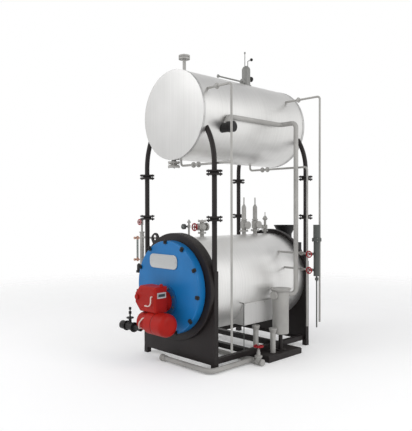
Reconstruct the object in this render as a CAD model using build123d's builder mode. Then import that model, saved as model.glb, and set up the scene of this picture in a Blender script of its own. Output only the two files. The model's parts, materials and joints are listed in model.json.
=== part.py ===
"""Packaged steam boiler on a skid, with its feedwater tank on posts above it. Millimetres, +Z up."""
import os
from math import cos, radians, sin

from build123d import *

os.makedirs("parts", exist_ok=True)

# Fits
seat = 0.3
pin_play = 0.05
eye_play = 1.0

# Boiler shell, front head and furnace
axis_height = 746.0
shell_radius = 475.0
shell_wall = 5.0
mouth_inset = 55.0
head_depth = 42.0
head_wall = 25.0
head_face = 12.0
tube_plate_thickness = 12.0
furnace_radius = 150.0
furnace_wall = 6.0
furnace_back_gap = 260.0
furnace_drop = 126.0
lug_angle = 124.0
lug_width = 115.0
lug_height = 82.0
lug_thickness = 14.0
lug_round_share = 0.42
lug_hole_radius = 28.0

# Rear cover, smoke hood and flue
rear_cover_lap = 10.0
rear_cover_thickness = 30.0
hood_width = 280.0
hood_depth = 365.0
hood_rise = 14.0
hood_height = 340.0
hood_cut = 180.0
hood_wall = 5.0
flue_setback = 225.0
flue_radius = 80.0
flue_mouth_radius = 135.0
flue_wall = 4.0
flue_neck = 105.0
flue_height = 207.0

# Skid
foot_height = 60.0
foot_width = 52.0
support_margin = 49.0
support_depth = 50.0
support_wall = 8.0
shoulder_rise = 184.0
rail_width = 50.0
rail_height = 50.0
rail_inset = 30.0
bar_width = 60.0
front_bar_back = 530.0
rear_bar_setback = 460.0
plinth_edge_gap = 90.0
plinth_width = 375.0
plinth_length = 530.0
plinth_setback = 315.0
plinth_edge = 8.0

# Posts that carry the tank, with shares of the post's diameter for a flange
post_run = 1420.0
post_diameter = 48.3
lower_post_length = 485.0
middle_post_length = 426.0
arm_straight = 89.0
arm_angle = 20.0
flange_shares = [(1.55, 0.33), (0.91, 0.14)]

# Front door and its hinge
door_lap = 32.0
door_thickness = 84.0
door_edge = 10.0
door_gap = 6.0
plug_clearance = 25.0
plug_depth = 12.0
hinge_reach = 45.0
hinge_rise = 155.0
hinge_pin_radius = 10.0
hinge_eye_radius = 20.0
hinge_eye_height = 60.0
hinge_lug_height = 24.0
clamp_count = 11
clamp_turn = 26.3
clamp_overhang = 15.0
clamp_width = 34.0
clamp_length = 46.0
clamp_height = 16.0

# Burner
blast_tube_radius = 70.0
blast_tube_reach = 40.0
burner_flange_radius = 150.0
burner_flange_thickness = 20.0
neck_radius = 100.0
neck_length = 78.0
housing_left = 190.0
housing_right = 118.0
housing_rise = 160.0
housing_height = 244.0
housing_depth = 143.0
housing_corner = 75.0
housing_round = 20.0
knob_inset = 26.0
knob_lead = 45.0
knob_radius = 16.0
knob_shares = [(1.0, 0.9), (0.7, 0.5)]
boss_inset = 42.0
boss_rise = 48.0
boss_radius = 26.0
boss_shares = [(1.0, 0.5), (1.0, 0.75, 0.2)]
fan_setback = 162.0
fan_drop = 184.0
fan_radius = 108.0
fan_left = 2.0
fan_right = 270.0
fan_round = 55.0
scroll_radius = 88.0
scroll_left = 141.0
scroll_round = 25.0
gas_overlap = 30.0
gas_drop = 75.0
gas_lead = 45.0
gas_pipe_radius = 24.0
gas_shares = [(1.0, 4.25), (2.0, 0.5), (1.2, 0.6), (1.5, 3.4), (1.2, 0.4), (2.0, 0.5), (1.0, 0.6),
              (1.7, 2.3)]
actuator_place_share = 7.25
actuator_size = 58.0
actuator_shares = [(0.42, 0.6), (0.25, 0.75), (0.62, 0.2), (0.14, 0.55), (0.24, 0.42), (0.1, 0.3),
                   (0.22, 0.4)]
lead_diameter = 12.0
lead_stand = 20.0
lead_end_bend = 10.0
lead_bend = 48.0
upper_lead_inset = 18.0
upper_lead_span = 92.0
upper_lead_rise = 72.0
upper_lead_height = 92.0
lower_lead_left = 12.0
lower_lead_span = 56.0
lower_lead_rise = 50.0
lower_lead_height = 105.0
lower_lead_stand = 14.0
lower_lead_bend = 30.0

# Feedwater tank and its fittings
tank_clearance = 147.0
tank_radius = 435.0
tank_wall = 5.0
tank_front_overhang = 76.0
tank_back_overhang = 64.0
cap_thickness = 6.0
cap_lip = 22.0
cap_lip_wall = 3.0
vent_back = 80.0
vent_diameter = 34.0
vent_shares = [(0.5, 4.0), (1.65, 0.5), (1.3, 0.15), (1.65, 0.5)]
breaker_setback = 420.0
breaker_size = 94.0
breaker_shares = [(0.62, 0.22), (0.5, 1.85), (0.5, 0.42, 0.22), (0.42, 0.2, 0.2)]
breaker_middle_share = 0.55
breaker_side_shares = [(0.3, 0.62), (0.36, 0.12)]
breaker_knob_share = 1.08
breaker_knob_shares = [(0.16, 0.55), (0.3, 0.4), (0.3, 0.2, 0.1)]
lever_length = 420.0
lever_radius = 8.0
lever_knob_shares = [(1.2, 2.4, 3.0)]
spindle_lead = 20.0
spindle_length = 317.0
spindle_radius = 4.5
spindle_knob_shares = [(2.0, 4.0)]
weight_rod_back = 28.0
weight_rod_rise = 243.0
weight_rod_bend = 15.0
weight_radius = 17.0
weight_back = 90.0
weight_rise = 271.0
outlet_left = 75.0
outlet_back = 5.0
outlet_diameter = 48.3
outlet_shares = [(0.5, 1.25), (1.23, 0.3), (1.2, 0.62, 0.3), (0.62, 1.2, 0.3), (1.23, 0.3)]
valve_back = 210.0
valve_drop = 141.0
valve_radius = 47.0
valve_cap_radius = 52.0
valve_cap_length = 52.0
valve_reach = 110.0

# Pipes, with shares of the cock's radius for a cock
small_pipe = 21.3
small_bend = 32.0
feed_pipe = 48.3
feed_bend = 50.0
feed_tank_gap = 4.0
feed_rise = 103.0
feed_turn_setback = 407.0
feed_drop_gap = 85.0
feed_entry_rise = 396.0
line_post_gap = 1.0
front_line_gap = 158.0
front_line_rise = 217.0
front_line_end = 205.0
front_line_cock = 500.0
rear_line_gap = 268.0
rear_line_rise = 251.0
rear_line_end = 322.0
rear_line_cock = 520.0
rear_line_setback = 160.0
drain_below_tank = 57.0
rear_drain_gap = 248.0
rear_drain_setback = 354.0
rear_drain_end = 303.0
drain_cock = 180.0
drain_cock_gap = 70.0
cock_radius = 22.0
cock_length_share = 1.8
cock_shares = [(0.72, 0.35), (0.55, 0.2), (1.0, 0.7), (0.55, 0.2), (0.72, 0.35)]

# Feedwater pot and tundishes
pot_gap = 27.0
pot_setback = 237.0
pot_rise = 176.0
pot_radius = 83.0
pot_height = 456.0
pot_top_shares = [(1.28, 0.12), (1.28, 1.0, 0.3)]
pot_port_shares = [(0.5, 2.05), (0.85, 0.4)]
pedestal_radius = 21.0
pedestal_plate_shares = [(2.4, 0.5)]
tundish_radius = 27.0
tundish_cup_shares = [(1.48, 0.55), (1.48, 1.0, 1.3)]
near_tundish_offset = 5.0
near_tundish_lead = 130.0
near_tundish_drop = 441.0
far_tundish_back = 40.0
far_tundish_gap = 16.9875

# Fittings on top of the boiler
gauge_back = 137.0
gauge_size = 18.0
gauge_shares = [(1.0, 0.9), (0.55, 4.6), (0.85, 1.6), (0.5, 1.2), (1.0, 0.5), (1.0, 0.2, 1.4)]
gauge_dial_share = 6.3
gauge_dial_shares = [(0.5, 3.2), (1.5, 1.2)]
steam_back = 318.0
steam_size = 42.0
steam_shares = [(0.5, 0.82), (1.0, 0.35), (0.5, 0.3), (0.5, 0.95, 0.5), (0.95, 0.9), (0.95, 0.55, 0.45),
                (0.55, 0.35), (1.0, 0.45)]
steam_middle_share = 2.5
steam_outlet_shares = [(0.5, 1.2), (1.0, 0.4)]
steam_bonnet_shares = [(0.6, 1.2), (0.85, 0.25), (0.35, 0.5)]
steam_wheel_radius = 42.0
steam_wheel_reach = 105.0
safety_setback = 271.0
safety_gap = 187.0
safety_size = 50.0
safety_shares = [(0.45, 0.7), (0.95, 0.35), (0.5, 0.35), (0.75, 1.5), (0.75, 0.5, 0.3), (0.7, 0.25),
                 (0.5, 2.7), (0.5, 0.2, 0.6), (0.14, 1.55)]
safety_outlet_share = 2.15
safety_outlet_shares = [(0.45, 1.0), (0.85, 0.35)]
air_vent_setback = 94.0
air_vent_size = 40.0
air_vent_shares = [(0.4, 0.72), (0.9, 0.35), (0.45, 0.4), (0.7, 1.1), (0.35, 1.3), (0.35, 0.8, 0.4),
                   (0.8, 0.3, 0.9), (0.12, 1.1)]
air_vent_port_share = 2.0
air_vent_port_shares = [(0.35, 1.0), (0.6, 0.3)]

# Level column on the right
column_gap = 338.0
column_setback = 316.0
column_radius = 32.0
column_rise = 76.0
column_height = 370.0
column_top_shares = [(1.5, 0.5)]
controller_radius = 35.0
controller_height = 150.0
controller_base_shares = [(1.35, 0.4)]
column_pipe_rise = 134.0
column_pipe_gap = 163.0
column_cock_gap = 146.0
column_valve_gap = 50.0
column_bonnet_shares = [(0.42, 0.7), (0.3, 0.4)]
column_wheel_radius = 37.0
column_wheel_reach = 63.0
column_drain_shares = [(0.4, 0.8), (0.8, 1.2), (0.4, 0.6)]
column_drain_radius = 7.0
column_drain_end = 300.0

# Level gauge on the left
glass_column_gap = 148.0
glass_column_back = 60.0
glass_column_radius = 23.0
glass_column_drop = 56.0
glass_column_height = 570.0
glass_plate_shares = [(1.3, 0.5)]
glass_valve_shares = [(0.5, 3.2), (0.72, 2.7), (0.5, 0.5)]
glass_stem_share = 4.55
glass_wheel_radius = 33.0
glass_wheel_reach = 34.0
glass_pipe_inset = 60.0
glass_reach = 80.0
glass_cock_rise = 209.0
glass_cock_gap = 235.0
glass_cock_size = 20.0
glass_cock_shares = [(0.6, 0.5), (0.8, 1.0), (0.6, 0.5)]
glass_handle_shares = [(0.35, 1.6), (0.7, 0.6)]
glass_arm_radius = 7.0
glass_radius = 12.5
glass_wall = 3.0

# Blowdown valve, drain line and sample tube
drain_pipe = 48.3
drain_height = 34.0
drain_lead = 110.0
drain_left = 70.0
drain_gap = 29.0
drain_bend = 60.0
drain_cap_shares = [(0.62, 0.8), (0.7, 0.5)]
drain_tee_radius = 30.0
drain_tee_length = 64.0
blow_back = 450.0
blow_gap = 121.0
blow_size = 46.0
blow_side_shares = [(0.68, 0.55), (0.5, 0.3), (0.7, 0.35)]
blow_bonnet_shares = [(0.6, 1.0), (0.8, 0.3), (0.4, 0.8), (0.3, 0.5)]
blow_wheel_radius = 50.0
blow_wheel_reach = 150.0
sample_tube = 9.0
sample_bend = 16.0
sample_back = 400.0
sample_gap = 28.0
sample_drop = 161.0
sample_end = 120.0

# Cladding cover on the lower right of the shell
cover_back = 454.0
cover_length = 476.0
cover_low_share = 0.8295
cover_high_share = 0.379
cover_inset = 17.0

# Hand wheels, in shares of the wheel's radius
wheel_rim_share = 0.16
wheel_hub_share = 0.30
wheel_hub_length_share = 0.33
wheel_spoke_share = 0.13
wheel_stem_share = 0.13
wheel_spokes = 4

# Places worked out from the sizes above
mouth_radius = shell_radius - mouth_inset
plug_radius = mouth_radius - plug_clearance
door_radius = mouth_radius + door_lap
support_half = shell_radius + support_margin
half_span = support_half - post_diameter / 2
rail_right = half_span - rail_inset
shell_top = axis_height + shell_radius
burner_height = axis_height - furnace_drop
head_front = support_depth / 2 + head_depth
door_back = head_front + door_gap
door_front = door_back + door_thickness
hinge_front = door_back + door_thickness / 2
hinge_left = door_radius + hinge_reach
rear_face = post_run + support_depth / 2
hood_front = rear_face + rear_cover_thickness
shoulder_height = axis_height + shoulder_rise
lower_joint = shoulder_height + lower_post_length
upper_joint = lower_joint + middle_post_length
tank_height = upper_joint + tank_clearance + tank_radius
tank_top = tank_height + tank_radius
tank_bottom = tank_height - tank_radius
tank_length = tank_front_overhang + post_run + tank_back_overhang
pot_right = shell_radius + pot_gap + pot_radius
plinth_right = pot_right + plinth_edge_gap
plinth_back = post_run - plinth_setback
plinth_front = plinth_back - plinth_length
pot_back = plinth_back - pot_setback
pot_bottom = foot_height + pot_rise
feed_entry_height = pot_bottom + feed_entry_rise
far_tundish_drop = shell_radius * cover_low_share + far_tundish_gap
line_back = (post_diameter + small_pipe) / 2 + line_post_gap
front_line_right = support_half + front_line_gap
rear_line_right = support_half + rear_line_gap
rear_drain_right = support_half + rear_drain_gap
column_right = support_half + column_gap
glass_column_left = support_half + glass_column_gap
glass_left = glass_column_left + glass_reach
drain_right = support_half + drain_gap
blow_right = support_half + blow_gap
column_back = post_run - column_setback
column_bottom = axis_height + column_rise
glass_bottom = axis_height - glass_column_drop
left_reach = glass_left + glass_cock_size
right_reach = column_right + column_radius * column_top_shares[0][0]
burner_reach = max(neck_length + housing_depth, fan_setback + fan_radius)
front_reach = door_front + burner_flange_thickness + burner_reach
back_reach = hood_front + hood_depth
axis_x = (left_reach - right_reach) / 2
front_y = (front_reach - back_reach) / 2

RIGHT, LEFT = Vector(1, 0, 0), Vector(-1, 0, 0)
BACK, FRONT = Vector(0, 1, 0), Vector(0, -1, 0)
UP, DOWN = Vector(0, 0, 1), Vector(0, 0, -1)


def at(right, back, height):
    """A point given from the boiler axis, the front posts and the floor."""
    return Vector(axis_x + right, front_y + back, height)


def front_plane(right, back, height):
    """A plane that faces the front, with its own x to the right and its own y up."""
    return Plane(origin=at(right, back, height), x_dir=RIGHT, z_dir=FRONT)


def back_plane(right, back, height):
    """A plane that faces the back, with its own x to the left and its own y up."""
    return Plane(origin=at(right, back, height), x_dir=LEFT, z_dir=BACK)


def turned(base, direction, size, shares):
    """A round stepped piece along direction. A step is (radius, length) or (start, end, length)."""
    side = UP if abs(direction.Z) < 1 else RIGHT
    outline = [(0, 0)]
    height = 0
    for first, *last, length in shares:
        if outline[-1] != (first * size, height):
            outline.append((first * size, height))
        height += length * size
        outline.append(((last[0] if last else first) * size, height))
    outline.append((0, height))
    with BuildPart() as piece:
        with BuildSketch(Plane(origin=base, x_dir=side, z_dir=side.cross(direction))):
            with BuildLine():
                Polyline(*outline, close=True)
            make_face()
        revolve(axis=Axis(base, direction))
    return piece.part


def rod(base, direction, radius, length):
    """A plain round bar."""
    with BuildPart() as piece:
        with BuildSketch(Plane(origin=base, z_dir=direction)):
            Circle(radius)
        extrude(amount=length)
    return piece.part


def pipe(points, outside, bend):
    """A round pipe along straight runs that are joined by bends of one radius."""
    with BuildPart() as piece:
        with BuildLine() as route:
            FilletPolyline(*points, radius=bend)
        with BuildSketch(Plane(origin=route.line @ 0, z_dir=route.line % 0)):
            Circle(outside / 2)
        sweep()
    return piece.part


def block(low, high):
    """A square-edged block between two corners."""
    span = high - low
    with BuildPart(Plane(origin=low)) as piece:
        Box(span.X, span.Y, span.Z, align=(Align.MIN, Align.MIN, Align.MIN))
    return piece.part


def cock(base, direction):
    """A small in-line cock with its two hex ends, centred on its base."""
    start = base - direction * (cock_radius * cock_length_share / 2)
    return turned(start, direction, cock_radius, cock_shares)


def handwheel(hub, direction, radius):
    """A spoked hand wheel, bored for its stem."""
    rim = radius * wheel_rim_share
    wheel_plane = Plane(origin=hub, z_dir=direction)
    with BuildPart(wheel_plane) as wheel:
        Torus(radius - rim, rim)
        with BuildSketch(wheel_plane):
            with PolarLocations(0, wheel_spokes):
                Rectangle(radius - rim, radius * wheel_spoke_share, align=(Align.MIN, Align.CENTER))
        extrude(amount=rim / 2, both=True)
        Cylinder(radius * wheel_hub_share, radius * wheel_hub_length_share)
        Cylinder(radius * wheel_stem_share + pin_play, radius, mode=Mode.SUBTRACT)
    return wheel.part


def wheel_stem(base, direction, radius, reach):
    """The stem of a hand wheel, from the valve to the outer end of the wheel's hub."""
    return rod(base, direction, radius * wheel_stem_share, reach + radius * wheel_hub_length_share / 2)


def save(piece, name):
    """Labels a finished piece and writes it."""
    piece.part.label = name
    export_step(piece.part, f"parts/{name}.step")


# Round bodies that other pieces are cut to sit on
tank_space = rod(at(0, -tank_front_overhang, tank_height), BACK, tank_radius + seat, tank_length)
shell_space = rod(at(0, 0, axis_height), BACK, shell_radius + seat, post_run)
arch_space = rod(at(0, -head_front, axis_height), BACK, support_half + seat, head_front + rear_face)
pot_space = rod(at(pot_right, pot_back, pot_bottom), UP, pot_radius + seat, pot_height)
column_space = rod(at(column_right, column_back, column_bottom), UP, column_radius + seat, column_height)


# Skid supports, feet and rails
def support(web_plane):
    """An arched end plate with folded edges, seen from the plane of its web."""
    with BuildPart() as plate:
        with BuildSketch(web_plane):
            with Locations((0, (foot_height + shoulder_height) / 2)):
                Rectangle(2 * support_half, shoulder_height - foot_height)
            with Locations((0, axis_height)):
                Circle(support_half)
        extrude(amount=-support_depth)
        inner_face = plate.faces().sort_by(Axis(web_plane.origin, web_plane.z_dir))[0]
        offset(amount=-support_wall, openings=inner_face)
        with BuildSketch(web_plane):
            with Locations((0, axis_height)):
                Circle(mouth_radius)
        extrude(amount=-support_wall, mode=Mode.SUBTRACT)
    return plate


save(support(front_plane(0, -support_depth / 2, 0)), "front_support")
save(support(back_plane(0, rear_face, 0)), "rear_support")

with BuildPart(Plane(origin=at(0, post_run / 2, 0))) as feet:
    with GridLocations(2 * half_span, post_run, 2, 2):
        Box(foot_width, support_depth, foot_height, align=(Align.CENTER, Align.CENTER, Align.MIN))
save(feet, "feet")

with BuildPart(Plane(origin=at(0, support_depth / 2, foot_height))) as base_rails:
    with GridLocations(2 * rail_right, 0, 2, 1):
        Box(rail_width, post_run - support_depth, rail_height, align=(Align.CENTER, Align.MIN, Align.MIN))
save(base_rails, "base_rails")

with BuildPart(Plane(origin=at(0, 0, foot_height))) as cross_bars:
    with Locations((0, front_bar_back), (0, post_run - rear_bar_setback)):
        Box(2 * rail_right - rail_width, bar_width, rail_height,
            align=(Align.CENTER, Align.CENTER, Align.MIN))
save(cross_bars, "cross_bars")

plinth_block = block(at(plinth_right - plinth_width, plinth_front, 0),
                     at(plinth_right, plinth_back, foot_height))
with BuildPart() as pump_plinth:
    add(plinth_block)
    chamfer(pump_plinth.faces().sort_by(Axis.Z)[-1].edges(), plinth_edge)
save(pump_plinth, "pump_plinth")


# Posts that carry the tank
flange_height = post_diameter * sum(length for _, length in flange_shares)
arm_start = upper_joint + flange_height
arm_depth = tank_radius - post_diameter / 2
arm_end_right = arm_depth * cos(radians(arm_angle))
arm_end_height = tank_height - arm_depth * sin(radians(arm_angle))
lower_pieces = []
middle_pieces = []
arm_pieces = []
for side in (LEFT, RIGHT):
    for back in (0, post_run):
        foot = at(0, back, 0) + side * half_span
        low_neck = foot + UP * (lower_joint - flange_height)
        middle_neck = foot + UP * (lower_joint + flange_height)
        top_neck = foot + UP * (upper_joint - flange_height)
        arm_neck = foot + UP * arm_start
        lower_pieces.append(rod(foot + UP * axis_height, UP, post_diameter / 2, low_neck.Z - axis_height))
        lower_pieces.append(turned(low_neck, UP, post_diameter, flange_shares))
        middle_pieces.append(turned(middle_neck, DOWN, post_diameter, flange_shares))
        middle_pieces.append(rod(middle_neck, UP, post_diameter / 2, top_neck.Z - middle_neck.Z))
        middle_pieces.append(turned(top_neck, UP, post_diameter, flange_shares))
        bend_start = foot + UP * (upper_joint + arm_straight)
        bend_end = at(0, back, arm_end_height) + side * arm_end_right
        with BuildPart() as arm:
            with BuildLine() as arm_line:
                Line(arm_neck, bend_start)
                TangentArc(bend_start, bend_end, tangent=UP)
            with BuildSketch(Plane(origin=arm_neck, z_dir=UP)):
                Circle(post_diameter / 2)
            sweep()
        arm_pieces.append(turned(arm_neck, DOWN, post_diameter, flange_shares))
        arm_pieces.append(arm.part)

shoulder_space = block(at(-support_half, -support_depth, 0), at(support_half, rear_face + support_depth,
                                                                shoulder_height))
with BuildPart() as lower_posts:
    add(lower_pieces)
    add(arch_space, mode=Mode.SUBTRACT)
    add(shoulder_space, mode=Mode.SUBTRACT)
save(lower_posts, "lower_posts")

with BuildPart() as middle_posts:
    add(middle_pieces)
save(middle_posts, "middle_posts")

with BuildPart() as tank_arms:
    add(arm_pieces)
    add(tank_space, mode=Mode.SUBTRACT)
save(tank_arms, "tank_arms")


# Boiler shell between the webs of the two supports
shell_front = -support_depth / 2 + support_wall
with BuildPart() as boiler_shell:
    with BuildSketch(front_plane(0, rear_face - support_wall, axis_height)):
        Circle(shell_radius)
        Circle(shell_radius - shell_wall, mode=Mode.SUBTRACT)
    extrude(amount=rear_face - support_wall - shell_front)
save(boiler_shell, "boiler_shell")

# Front head with the tube plate and the furnace tube inside it
with BuildPart() as front_head:
    with BuildSketch(front_plane(0, -support_depth / 2, axis_height)):
        Circle(support_half)
        Circle(support_half - head_wall, mode=Mode.SUBTRACT)
    extrude(amount=head_depth)
    with BuildSketch(front_plane(0, -head_front + head_face, axis_height)):
        Circle(support_half)
        Circle(mouth_radius, mode=Mode.SUBTRACT)
    extrude(amount=head_face)
    chamfer(front_head.edges().filter_by(GeomType.CIRCLE).group_by(Axis.Y)[0].sort_by(SortBy.RADIUS)[-1],
            head_face / 2)
save(front_head, "front_head")

with BuildPart() as tube_plate:
    with BuildSketch(front_plane(0, -support_depth / 2, axis_height)):
        Circle(support_half - head_wall - seat)
        with Locations((0, -furnace_drop)):
            Circle(furnace_radius + furnace_wall + seat, mode=Mode.SUBTRACT)
    extrude(amount=tube_plate_thickness)
save(tube_plate, "tube_plate")

furnace_front = -support_depth / 2 - tube_plate_thickness
furnace_back = post_run - furnace_back_gap
with BuildPart() as furnace_tube:
    with BuildSketch(front_plane(0, furnace_back, burner_height)):
        Circle(furnace_radius + furnace_wall)
    extrude(amount=furnace_back - furnace_front)
    with BuildSketch(front_plane(0, furnace_back - furnace_wall, burner_height)):
        Circle(furnace_radius)
    extrude(amount=furnace_back - furnace_front, mode=Mode.SUBTRACT)
save(furnace_tube, "furnace_tube")

lug_across = RIGHT * sin(radians(lug_angle)) - UP * cos(radians(lug_angle))
lug_back = -head_front + head_depth / 2 + lug_thickness / 2
with BuildPart() as lifting_lug:
    with BuildSketch(Plane(origin=at(0, lug_back, axis_height), x_dir=lug_across, z_dir=FRONT)):
        with Locations((0, support_half)):
            RectangleRounded(lug_width, 2 * lug_height, lug_width * lug_round_share)
        with Locations((0, support_half + lug_height / 2)):
            Circle(lug_hole_radius, mode=Mode.SUBTRACT)
    extrude(amount=lug_thickness)
    add(arch_space, mode=Mode.SUBTRACT)
save(lifting_lug, "lifting_lug")


# Rear cover, smoke hood and flue
with BuildPart() as rear_cover:
    with BuildSketch(back_plane(0, rear_face, axis_height)):
        Circle(mouth_radius + rear_cover_lap)
    extrude(amount=rear_cover_thickness)
    chamfer(rear_cover.edges().filter_by(GeomType.CIRCLE).sort_by(Axis.Y)[-1], rear_cover_thickness / 3)
save(rear_cover, "rear_cover")

hood_bottom = axis_height + hood_rise
hood_top = hood_bottom + hood_height
hood_block = block(at(-hood_width / 2, hood_front, hood_bottom),
                   at(hood_width / 2, hood_front + hood_depth, hood_top))
with BuildPart() as smoke_hood:
    add(hood_block)
    chamfer(smoke_hood.edges().filter_by(Axis.X).group_by(Axis.Z)[0].sort_by(Axis.Y)[-1], hood_cut)
    offset(amount=-hood_wall, openings=smoke_hood.faces().sort_by(Axis.Y)[0])
    with BuildSketch(Plane(origin=at(0, hood_front + flue_setback, hood_top))):
        Circle(flue_radius - flue_wall - hood_wall)
    extrude(amount=-hood_wall, mode=Mode.SUBTRACT)
save(smoke_hood, "smoke_hood")

flue_outline = [(flue_radius, 0), (flue_radius, flue_neck), (flue_mouth_radius, flue_height)]
flue_inner = [(radius - flue_wall, height) for radius, height in reversed(flue_outline)]
with BuildPart() as flue_collar:
    with BuildSketch(front_plane(0, hood_front + flue_setback, hood_top)):
        with BuildLine():
            Polyline(*flue_outline, *flue_inner, close=True)
        make_face()
    revolve(axis=Axis(at(0, hood_front + flue_setback, hood_top), UP))
save(flue_collar, "flue_collar")


# Front door with its hinge and clamps
with BuildPart() as front_door:
    with BuildSketch(front_plane(0, -door_back, axis_height)):
        Circle(door_radius)
    extrude(amount=door_thickness)
    fillet(front_door.edges().filter_by(GeomType.CIRCLE).sort_by(Axis.Y)[0], door_edge)
    with BuildSketch(front_plane(0, -door_back, axis_height)):
        Circle(plug_radius)
    extrude(amount=-plug_depth)
    for rise in (-hinge_rise, hinge_rise):
        eye_bottom = axis_height + rise - hinge_eye_height / 2
        with BuildSketch(Plane(origin=at(-hinge_left, -hinge_front, eye_bottom))):
            Circle(hinge_eye_radius)
            Rectangle(hinge_reach + mouth_inset, hinge_eye_radius, align=(Align.MIN, Align.CENTER))
            Circle(hinge_pin_radius + pin_play, mode=Mode.SUBTRACT)
        extrude(amount=hinge_eye_height)
    with BuildSketch(front_plane(0, -door_front, burner_height)):
        Circle(blast_tube_radius + seat)
    extrude(amount=-door_thickness - plug_depth, mode=Mode.SUBTRACT)
save(front_door, "front_door")

lug_pieces = []
for rise in (-hinge_rise, hinge_rise):
    lug_top = axis_height + rise - hinge_eye_height / 2 - eye_play
    lug_low = at(-hinge_left - hinge_eye_radius, -hinge_front - hinge_eye_radius, lug_top - hinge_lug_height)
    lug_high = at(-hinge_left + hinge_eye_radius, -head_front, lug_top)
    pin_length = hinge_lug_height + eye_play + hinge_eye_height + hinge_pin_radius
    lug_pieces.append(block(lug_low, lug_high))
    lug_pieces.append(rod(at(-hinge_left, -hinge_front, lug_top - hinge_lug_height), UP, hinge_pin_radius,
                          pin_length))
with BuildPart() as hinge_lugs:
    add(lug_pieces)
save(hinge_lugs, "hinge_lugs")

with BuildPart() as door_clamps:
    with BuildSketch(front_plane(0, -door_front, axis_height)):
        with PolarLocations(door_radius + clamp_overhang - clamp_length / 2, clamp_count, clamp_turn):
            RectangleRounded(clamp_length, clamp_width, clamp_width / 4)
    extrude(amount=clamp_height)
save(door_clamps, "door_clamps")


# Burner on the door
blast_tube = rod(at(0, -door_front, burner_height), BACK, blast_tube_radius,
                 door_thickness + plug_depth + blast_tube_reach)
with BuildPart() as burner_flange:
    with BuildSketch(front_plane(0, -door_front, burner_height)):
        Circle(burner_flange_radius)
    extrude(amount=burner_flange_thickness)
    add(blast_tube)
save(burner_flange, "burner_flange")

flange_front = -door_front - burner_flange_thickness
housing_back = flange_front - neck_length
housing_front = housing_back - housing_depth
housing_top = burner_height + housing_rise
housing_neck = rod(at(0, flange_front, burner_height), FRONT, neck_radius, neck_length)
housing_block = block(at(-housing_left, housing_front, housing_top - housing_height),
                      at(housing_right, housing_back, housing_top))
knob_base = at(housing_right - knob_inset, housing_back - knob_lead, housing_top)
housing_knob = turned(knob_base, UP, knob_radius, knob_shares)
boss_base = at(boss_inset - housing_left, housing_front, burner_height + boss_rise)
housing_boss = turned(boss_base, FRONT, boss_radius, boss_shares)
with BuildPart() as burner_housing:
    add(housing_block)
    chamfer(burner_housing.edges().filter_by(Axis.Y).group_by(Axis.X)[0], housing_corner)
    fillet(burner_housing.faces().sort_by(Axis.Y)[0].edges(), housing_round)
    add([housing_neck, housing_knob, housing_boss])
save(burner_housing, "burner_housing")

fan_center = at(0, flange_front - fan_setback, burner_height - fan_drop)
fan_part = rod(fan_center + LEFT * fan_left, RIGHT, fan_radius, fan_left + fan_right)
scroll_part = rod(fan_center + LEFT * scroll_left, RIGHT, scroll_radius, scroll_left - fan_left)
with BuildPart() as burner_fan:
    add(fan_part)
    fillet(burner_fan.edges().filter_by(GeomType.CIRCLE).sort_by(Axis.X)[-1], fan_round)
    add(scroll_part)
    fillet(burner_fan.edges().filter_by(GeomType.CIRCLE).sort_by(Axis.X)[0], scroll_round)
    add(burner_housing.part, mode=Mode.SUBTRACT)
save(burner_fan, "burner_fan")

gas_start = fan_center + LEFT * (scroll_left - gas_overlap) + FRONT * gas_lead + DOWN * gas_drop
gas_body = turned(gas_start, LEFT, gas_pipe_radius, gas_shares)
actuator_base = gas_start + LEFT * (gas_pipe_radius * actuator_place_share)
actuator = turned(actuator_base, UP, actuator_size, actuator_shares)
with BuildPart() as gas_train:
    add([gas_body, actuator])
    add(burner_fan.part, mode=Mode.SUBTRACT)
save(gas_train, "gas_train")

upper_lead_right = housing_right - housing_round - upper_lead_inset
upper_lead_start = at(upper_lead_right, housing_front, burner_height + upper_lead_rise)
upper_lead_out = upper_lead_start + FRONT * lead_stand
upper_lead_turn = upper_lead_out + DOWN * upper_lead_height
upper_lead_end = upper_lead_turn + LEFT * upper_lead_span
upper_lead = pipe([upper_lead_start, upper_lead_out, upper_lead_turn, upper_lead_end,
                   upper_lead_end + BACK * lead_stand],
                  lead_diameter, [lead_end_bend, lead_bend, lead_end_bend])
lower_lead_start = fan_center + LEFT * lower_lead_left + UP * lower_lead_rise
lower_lead_out = lower_lead_start + FRONT * (scroll_radius + lower_lead_stand)
lower_lead_end = lower_lead_out + LEFT * lower_lead_span + DOWN * lower_lead_height
lower_lead_turn = lower_lead_out + LEFT * lower_lead_span + DOWN * (lower_lead_height / 2)
lower_lead = pipe([lower_lead_start, lower_lead_out, lower_lead_turn, lower_lead_end,
                   lower_lead_end + BACK * (scroll_radius + lower_lead_stand)],
                  lead_diameter, [lead_end_bend, lower_lead_bend, lead_end_bend])
with BuildPart() as burner_leads:
    add([upper_lead, lower_lead])
    add(burner_fan.part, mode=Mode.SUBTRACT)
save(burner_leads, "burner_leads")


# Feedwater tank
tank_front = -tank_front_overhang
tank_back = post_run + tank_back_overhang
with BuildPart() as tank_shell:
    with BuildSketch(front_plane(0, tank_back - cap_thickness, tank_height)):
        Circle(tank_radius)
        Circle(tank_radius - tank_wall, mode=Mode.SUBTRACT)
    extrude(amount=tank_length - 2 * cap_thickness)
save(tank_shell, "tank_shell")


def tank_cap(outer_plane):
    """A flat tank end with a lip that laps over the shell."""
    with BuildPart() as cap:
        with BuildSketch(outer_plane):
            Circle(tank_radius + seat + cap_lip_wall)
        extrude(amount=-cap_thickness - cap_lip)
        with BuildSketch(outer_plane.offset(-cap_thickness)):
            Circle(tank_radius + seat)
        extrude(amount=-cap_lip, mode=Mode.SUBTRACT)
    return cap


save(tank_cap(front_plane(0, tank_front, tank_height)), "tank_front_end")
save(tank_cap(back_plane(0, tank_back, tank_height)), "tank_rear_end")

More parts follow.
